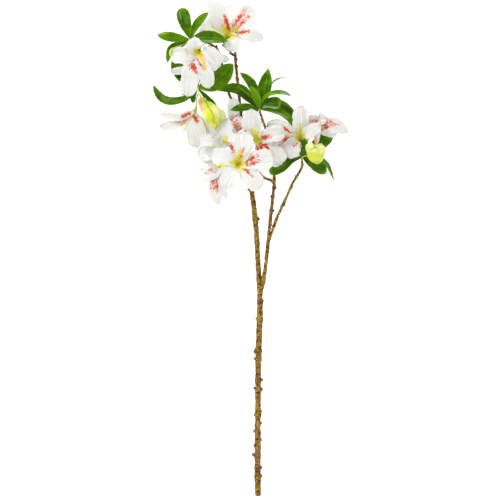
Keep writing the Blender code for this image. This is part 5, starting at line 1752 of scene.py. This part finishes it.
@dataclass
class Stems:
    """The limbs, from the cut stem to the twigs, with the stubs of old shoots."""

    spacing: float = 1.0 * MM
    thin: float = 2.6
    sides: tuple[int, int] = (26, 14)  # for a stout limb and for a thin one, as in the next five lines
    lump: tuple[float, float] = (2.7 * MM, 2.7 * MM * 0.6)
    lump_scale: tuple[float, float] = (125.0, 175.0)
    crease: tuple[float, float] = (0.9 * MM, 0.9 * MM * 0.5)
    crease_scale: tuple[float, float] = (200.0, 300.0)
    wart: tuple[float, float] = (0.85 * MM, 0.5 * MM)
    belly: float = 0.14
    belly_middle: float = 330.0
    belly_reach: float = 36.0
    node_swell: float = 0.16
    node_reach: float = 2.2
    fuller: float = 0.45
    fuller_reach: float = 30 * MM
    proud: float = 0.1
    stout: float = 1.45
    warts: float = 7000.0
    scar_depth: float = 0.8
    scar_reach: float = 0.6
    red_reach: float = 1.3
    young: tuple[str, ...] = ("tall_twig", "left_twig", "left_stub", "drooping_twig")

    def line(self, limb: Limb) -> tuple[Vec, Vec]:
        """The middle line of a limb, thicker at its knobs.

        Args:
            limb: The limb.

        Returns:
            Its points and the radius at each.
        """
        course = Course(np.array(PLAN.line(limb.route)))
        shares = np.linspace(0, 1, max(8, round(course.length() / self.spacing)))
        points = course.at(shares)
        along = shares * course.length()
        girth = limb.foot + (limb.tip - limb.foot) * shares
        girth = girth + self.fuller * soft_step(along, 0.0, self.fuller_reach)
        downs = PLAN.spots(points)[:, 1]
        girth = girth * (1 + self.belly * np.exp(-((downs - self.belly_middle) / self.belly_reach) ** 2))
        for y, _, _, _ in limb.knobs:
            girth = girth * (1 + self.node_swell * np.exp(-((downs - y) / self.node_reach) ** 2))
        return points, girth * MM

    def bands(self, points: Vec, places: tuple[float, ...], width: float) -> Vec:
        """How close each point is to one of some plan places down the picture.

        Args:
            points: The points, one a row.
            places: The places.
            width: How far each one reaches, in steps.

        Returns:
            1 at a place, falling to 0 away from it.
        """
        downs = PLAN.spots(points)[:, 1]
        near = [np.exp(-((downs - y) / width) ** 2) for y in places]
        return np.max(near, axis=0) if near else np.zeros(len(points))

    def stubs(self, limb: Limb) -> list[tuple[Vec, Vec]]:
        """The knobs of a limb, which lean towards its tip and end in a blunt broken face.

        Args:
            limb: The limb.

        Returns:
            For each knob, its points and the radius at each.
        """
        points, girths = self.line(limb)
        spots = PLAN.spots(points)
        order = np.argsort(spots[:, 1])
        downs, rights, girths = spots[order, 1], spots[order, 0], girths[order]
        plan = np.array(sorted(limb.route, key=lambda place: place[1]))
        lines = []
        for y, side, length, radius in limb.knobs:
            x, height = np.interp(y, downs, rights), np.interp(y, plan[:, 1], plan[:, 2])
            reach = np.interp(y, downs, girths) / PLAN.step + self.proud + 0.25 * length
            foot = PLAN.at(x, y + 1.0, height)
            tip = PLAN.at(x + side * reach, y - 0.25 * reach, height + 0.8)
            shares = np.concatenate([np.linspace(0, 0.9, 10), STUB_SHARES[4:]])
            girth = self.stout * radius * MM * np.interp(shares, STUB_SHARES, STUB_GIRTHS)
            lines.append((foot + (tip - foot) * shares[:, None], girth))
        return lines

    def build(self, tree: BarkTree, bark: bpy.types.Material, red_bark: bpy.types.Material) -> None:
        """Makes a piece for each limb.

        Args:
            tree: The tree that grows bark on lines.
            bark: The finish of the stem and its boughs.
            red_bark: The finish of the young twigs.
        """
        for name, limb in LIMBS.items():
            threads = Threads(name + "_lines")
            points, girth = self.line(limb)
            uneven = 0.75 + 0.25 * np.sin(1.7 * PLAN.spots(points)[:, 1])
            deep = self.scar_depth * self.bands(points, limb.dark, self.scar_reach) * uneven
            threads.add(points, girth, band=deep, red=self.bands(points, limb.red, self.red_reach))
            for points, girth in self.stubs(limb):
                threads.add(points, girth, band=np.linspace(0.25, 0.0, len(points)))
            thin = limb.foot < self.thin
            piece = tree.grow(threads.object(), name + "_bark", {
                "Sides": self.sides[thin], "Lump Height": self.lump[thin], "Lump Scale": self.lump_scale[thin],
                "Crease Depth": self.crease[thin], "Crease Scale": self.crease_scale[thin], "Warts": self.warts,
                "Wart Size": self.wart[thin], "Seed": seed_of(name),
                "Bark": red_bark if name in self.young else bark})
            dress(piece, "stem", name)


@dataclass
class Flowers:
    """The blooms: stalk, calyx, five petals each and the stamens."""

    petal_thick: float = 0.75 * MM
    pitch: float = 1.3 * MM
    claw: float = 5.2 * MM
    throat: float = 4.9 * MM
    stalk: float = 1.5 * MM
    filament: float = 0.85 * MM
    anther_length: float = 1.4 * MM
    anther_width: float = 0.7 * MM
    bow: float = 3.2
    horn: float = 1.7

    def petal_places(self, bloom: Bloom, petal: Petal) -> list[Vec]:
        """The points that a petal's middle line passes.

        Args:
            bloom: The flower.
            petal: One of its petals.

        Returns:
            Its foot in the calyx, the rim of the throat, its middle and its tip.
        """
        calyx, throat, facing = bloom.axis()
        middle = PLAN.at(*petal.middle)
        away = middle - throat
        away = unit(away - facing * np.dot(away, facing))
        foot = calyx * 0.5 + throat * 0.5 + away * self.throat * 0.42
        return [foot, throat + away * self.throat - facing * MM, middle, PLAN.at(*petal.tip)]

    def petal_patch(self, places: list[Vec], petal: Petal, seed: int, least: float) -> Patch:
        """One petal with its marks.

        Args:
            places: The points that its middle line passes.
            petal: The petal.
            seed: What its ruffles are drawn from.
            least: Its narrowest width as a share of its widest.

        Returns:
            The closed patch.
        """
        rng = np.random.default_rng(seed + 7)
        notches = tuple((float(rng.uniform(-0.8, 0.8)), petal.wave * float(rng.uniform(-1.2, 1.4)), 0.13)
                        for _ in range(3))
        size = BladeSize(petal.width * MM, petal.face, petal.swell, petal.roundness, least, 0.12, self.petal_thick,
                         self.pitch, wave=1.35 * petal.wave * MM, tips=petal.tips + notches if petal.tips else (),
                         ragged=0.06, ridge=0.2 * MM, midrib=0.35 * MM, seed=seed)
        patch = Blade(places, size).patch()
        mark_patch(patch, petal.marks, 1 - patch.fields["under"])
        return patch

    def glow(self, patch: Patch, bloom: Bloom) -> None:
        """Colours a petal's foot yellow, in a ray that reaches furthest along its middle, and its root olive.

        Args:
            patch: The petal.
            bloom: The flower that it belongs to.
        """
        _, throat, facing = bloom.axis()
        offset = patch.points - throat
        away = np.linalg.norm(offset, axis=1)
        reach = bloom.glow * MM * (1.4 - 0.95 * patch.fields["across"])
        warm = soft_step(1.0 - away / reach, 0.0, 0.75)
        patch.tint("yellow", warm, 1.2)
        depth = -(offset @ facing)
        aside = np.linalg.norm(offset + depth[:, None] * facing, axis=1)
        inside = soft_step(-aside, -1.15 * self.throat, -0.9 * self.throat)
        patch.fields["dark"] = inside * soft_step(depth, 1.5 * MM, 6.0 * MM) * min(1.0, bloom.glow / 12.0)

    def filaments(self, name: str, bloom: Bloom, threads: Threads) -> None:
        """Adds the long stamens and the short ones between them.

        Args:
            name: The name of the flower.
            bloom: The flower.
            threads: What the lines are added to.
        """
        calyx, throat, facing = bloom.axis()
        start = calyx * 0.35 + throat * 0.65
        rng = np.random.default_rng(seed_of(name))
        tips = PLAN.line(bloom.stamens)
        lean = unit(np.mean([tip - throat for tip in tips], axis=0)) if tips else facing
        while len(tips) < len(bloom.stamens) + 2 * bloom.filaments:
            spread = rng.normal(0, 1, 3)
            spread = unit(spread - facing * np.dot(spread, facing))
            aim = unit(facing * rng.uniform(0.5, 1.2) + lean * 0.3 + spread)
            tips.append(throat + aim * rng.uniform(7, 14) * MM)
        for i, tip in enumerate(tips):
            foot = start + np.array([math.cos(i * 2.4), math.sin(i * 2.4), 0]) * 1.1 * MM
            bow = (foot + tip) / 2 + facing * self.bow * MM
            shares = np.linspace(0, 1, 15)
            points = Course(np.array([foot, bow, tip])).at(shares)
            long = i < len(bloom.stamens)
            bare = long and bloom.horned
            girth = self.filament * (self.horn if bare else 1.0)
            threads.add(points, girth * (1.0 - (0.35 if long else 0.6) * shares), tip=long and not bare,
                        red=np.full(len(points), float(bare)))

    def build(self, materials: list[bpy.types.Material], tree: StamenTree, filament: bpy.types.Material,
              anther: bpy.types.Material) -> None:
        """Makes a piece for each flower and one for all the stamens.

        Args:
            materials: The finishes of petals and of stalks.
            tree: The tree that grows stamens on lines.
            filament: The finish of the filaments.
            anther: The finish of the anthers.
        """
        threads = Threads("stamen_lines")
        for name, bloom in BLOOMS.items():
            draft = Draft(name + "_petals", materials)
            for i, petal in enumerate(bloom.petals):
                least = self.claw / (petal.width * MM)
                patch = self.petal_patch(self.petal_places(bloom, petal), petal, seed_of(name) + 31 * i, least)
                self.glow(patch, bloom)
                # Painted shade: the flower's tint darkens every point of it alike.
                patch.tint("grey", np.full(len(patch.points), bloom.tint))
                draft.add(patch)
            calyx, throat, _ = bloom.axis()
            places = [calyx, calyx * 0.7 + throat * 0.3, calyx * 0.44 + throat * 0.56]
            radii = [0.42 * self.throat, 0.64 * self.throat, 0.72 * self.throat]
            draft.add(Tube(places, radii, 28, 18, 5, 0.07, dish=3.0 * MM).patch(1))
            places = PLAN.line(bloom.stalk) + [calyx * 0.9 + throat * 0.1]
            draft.add(Tube(places, [0.85 * self.stalk, 0.8 * self.stalk, 1.25 * self.stalk], 12, 22).patch(1))
            self.filaments(name, bloom, threads)
            dress(draft.build(), "petal", name)
        stamens = tree.grow(threads.object(), "stamens", {
            "Sides": 7, "Anther Length": self.anther_length, "Anther Width": self.anther_width,
            "Filament": filament, "Anther": anther})
        dress(stamens, "petal")


@dataclass
class Foliage:
    """The tufts of leaves, each on its hub at the tip of a twig."""

    thick: float = 0.8 * MM
    pitch: float = 1.2 * MM
    hub: float = 3.0 * MM

    def leaf_patch(self, start: Vec, leaf: Leaf, seed: int) -> Patch:
        """One leaf.

        Args:
            start: The point that it grows from.
            leaf: The leaf.
            seed: What its ruffles are drawn from.

        Returns:
            The closed patch, with its freshness at each point.
        """
        size = BladeSize(leaf.width * MM, leaf.face, leaf.swell, leaf.roundness, 0.09, leaf.fold, self.thick,
                         self.pitch, wave=leaf.wave * MM, tips=((0.0, 1.6, 0.25),), ragged=0.02,
                         midrib=0.8 * MM, veins=0.18 * MM, seed=seed)
        patch = Blade([start] + PLAN.line(leaf.route), size).patch()
        patch.fields["fresh"] = np.full(len(patch.points), leaf.tone.value)
        mark_patch(patch, leaf.marks, 1 - patch.fields["under"])
        return patch

    def build(self, leaf_finish: bpy.types.Material, stalk_finish: bpy.types.Material) -> None:
        """Makes a piece for each tuft.

        Args:
            leaf_finish: The finish of the leaves.
            stalk_finish: The finish of the hub.
        """
        for name, tuft in TUFTS.items():
            draft = Draft(name + "_blades", [leaf_finish, stalk_finish])
            hub = PLAN.at(*tuft.hub)
            twig_tip = PLAN.at(*LIMBS[tuft.carrier].route[-1])
            far = hub + unit(hub - twig_tip) * self.hub * 1.1
            radii = [0.5 * self.hub, 0.9 * self.hub, 0.25 * self.hub]
            draft.add(Tube([twig_tip, hub, far], radii, 14, 12, 4, 0.08).patch(1))
            for i, leaf in enumerate(tuft.leaves):
                draft.add(self.leaf_patch(hub, leaf, seed_of(name) + 17 * i))
            dress(draft.build(), "leaf", name)


@dataclass
class Buds:
    """The buds that haven't opened."""

    stalk: float = 1.6 * MM

    def build(self, bud_finish: bpy.types.Material, flowers: Flowers, petal_finish: bpy.types.Material) -> None:
        """Makes a piece for each bud.

        Args:
            bud_finish: The finish of the bud.
            flowers: What shapes its strap petals.
            petal_finish: The finish of its strap petals.
        """
        for name, bud in BUDS.items():
            draft = Draft(name + "_body", [bud_finish, petal_finish])
            places = PLAN.line(bud.route)
            radii = [radius * MM for radius in bud.radii]
            sides = 72 if max(bud.radii) > 5 else 24
            body = Tube(places, radii, sides, 64, bud.flutes, bud.depth, bud.dish * MM).patch()
            height = places[len(places) // 2][2]
            mark_patch(body, bud.marks, soft_step(body.points[:, 2], height - 4 * MM, height + 4 * MM))
            draft.add(body)
            if bud.stalk:
                radii = [self.stalk, self.stalk, 1.5 * self.stalk]
                draft.add(Tube(PLAN.line(bud.stalk), radii, 12, 22).patch())
            root = places[-2]
            for material, blades in ((1, bud.straps), (0, bud.lips)):
                for i, petal in enumerate(blades):
                    middle = PLAN.at(*petal.middle)
                    start = root if material else root * 0.35 + middle * 0.65 - unit(np.array(petal.face)) * 6 * MM
                    line = [start, middle, PLAN.at(*petal.tip)]
                    patch = flowers.petal_patch(line, petal, seed_of(name) + i, 0.3)
                    for sheet in patch.sheets:
                        sheet.material = material
                    draft.add(patch)
            dress(draft.build(), "bud", name)


@dataclass(frozen=True)
class Lamp:
    """One soft light of the studio."""

    name: str
    place: Place
    size: float
    watts: float


@dataclass
class Studio:
    """The pale floor, lit a little from below as a light table is, the soft lights and the camera."""

    floor_size: float = 24.0
    floor_colour: Colour = (0.95, 0.95, 0.95)
    floor_dull: Colour = (0.93575, 0.93575, 0.93575)
    view_steps: float = 500.0
    sensor: float = 36.0
    sky_low: float = 1.65
    sky_high: float = 0.55
    floor_glow: float = 0.42
    lamps: tuple[Lamp, ...] = (
        Lamp("key", (-1.9, 1.9, 2.1), 0.9, 46.0),
        Lamp("fill", (2.2, -0.8, 2.8), 2.6, 8.0),
    )

    def floor(self) -> None:
        """Lays the floor."""
        half = self.floor_size / 2
        mesh = bpy.data.meshes.new("floor")
        corners = [(-half, -half, 0), (half, -half, 0), (half, half, 0), (-half, half, 0)]
        mesh.from_pydata(corners, [], [(0, 1, 2, 3)])
        make = Finish("pale_floor")
        cloud = make.noise(make.place(), 3.0, 2.0)
        colour = make.mix(make.span(cloud, 0.3, 0.7), self.floor_colour, self.floor_dull)
        rough = make.span(cloud, 0.3, 0.7, 0.8, 0.9)
        mesh.materials.append(make.done(colour, rough, make.bump(cloud, 0.1 * MM, 0.1),
                                        Emission_Color=(1.0, 1.0, 1.0), Emission_Strength=self.floor_glow))
        new_object("floor", mesh)

    def light(self) -> None:
        """Hangs the lights and sets the even light of the room."""
        world = bpy.data.worlds.new("studio")
        world.use_nodes = True
        nodes, links = world.node_tree.nodes, world.node_tree.links
        aim = nodes.new("ShaderNodeSeparateXYZ")
        links.new(nodes.new("ShaderNodeTexCoord").outputs["Generated"], aim.inputs[0])
        level = nodes.new("ShaderNodeMapRange")
        level.inputs["To Min"].default_value = self.sky_low
        level.inputs["To Max"].default_value = self.sky_high
        links.new(aim.outputs["Z"], level.inputs["Value"])
        nodes["Background"].inputs["Color"].default_value = (1.0, 1.0, 1.0, 1.0)
        links.new(level.outputs[0], nodes["Background"].inputs["Strength"])
        bpy.context.scene.world = world
        for lamp in self.lamps:
            data = bpy.data.lights.new(lamp.name, "AREA")
            data.size = lamp.size
            data.energy = lamp.watts
            light = new_object(lamp.name, data)
            light.location = lamp.place
            aim = -unit(np.array(lamp.place))
            light.rotation_euler = (math.acos(-aim[2]), 0.0, math.atan2(aim[1], aim[0]) - math.pi / 2)

    def camera(self) -> None:
        """Stands the camera straight over the middle of the plan."""
        data = bpy.data.cameras.new("camera")
        data.sensor_width = self.sensor
        data.lens = self.sensor * PLAN.eye / (self.view_steps * PLAN.step)
        camera = new_object("camera", data)
        camera.location = (-PLAN.shift[0], -PLAN.shift[1], PLAN.eye - PLAN.shift[2])
        bpy.context.scene.camera = camera

    def build(self) -> None:
        """Makes the whole studio."""
        self.floor()
        self.light()
        self.camera()
        bpy.context.scene.view_settings.view_transform = "Standard"


def clear_scene() -> None:
    """Removes whatever the file starts with."""
    for obj in list(bpy.data.objects):
        bpy.data.objects.remove(obj, do_unlink=True)


def write_sizes() -> None:
    """Writes nothing: it only defines a helper that turns two corners into lists of numbers.
    """
    def plain(box: object) -> list[list[float]]:
        """The two corners as lists of numbers."""
        return [[float(value) for value in corner] for corner in box]


def main() -> None:
    """Builds the dressed branch and its studio."""
    clear_scene()
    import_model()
    Studio().build()
    bark = BarkFinish().make("bark")
    red_bark = BarkFinish(redden=0.55).make("young_bark")
    petal = PetalFinish().make("petal_fabric")
    stalk = StalkFinish().make("stalk")
    leaf = LeafFinish().make("leaf_gloss")
    bud = BudFinish().make("bud_lime")
    filament = PlainFinish((0.72, 0.64, 0.06), (0.50, 0.48, 0.05)).make("filament")
    anther = PlainFinish((0.26, 0.19, 0.04), (0.10, 0.08, 0.02)).make("anther")
    Stems().build(BarkTree(), bark, red_bark)
    flowers = Flowers()
    flowers.build([petal, stalk], StamenTree(), filament, anther)
    Foliage().build(leaf, stalk)
    Buds().build(bud, flowers, petal)
    write_sizes()


if __name__ == "__main__":
    main()
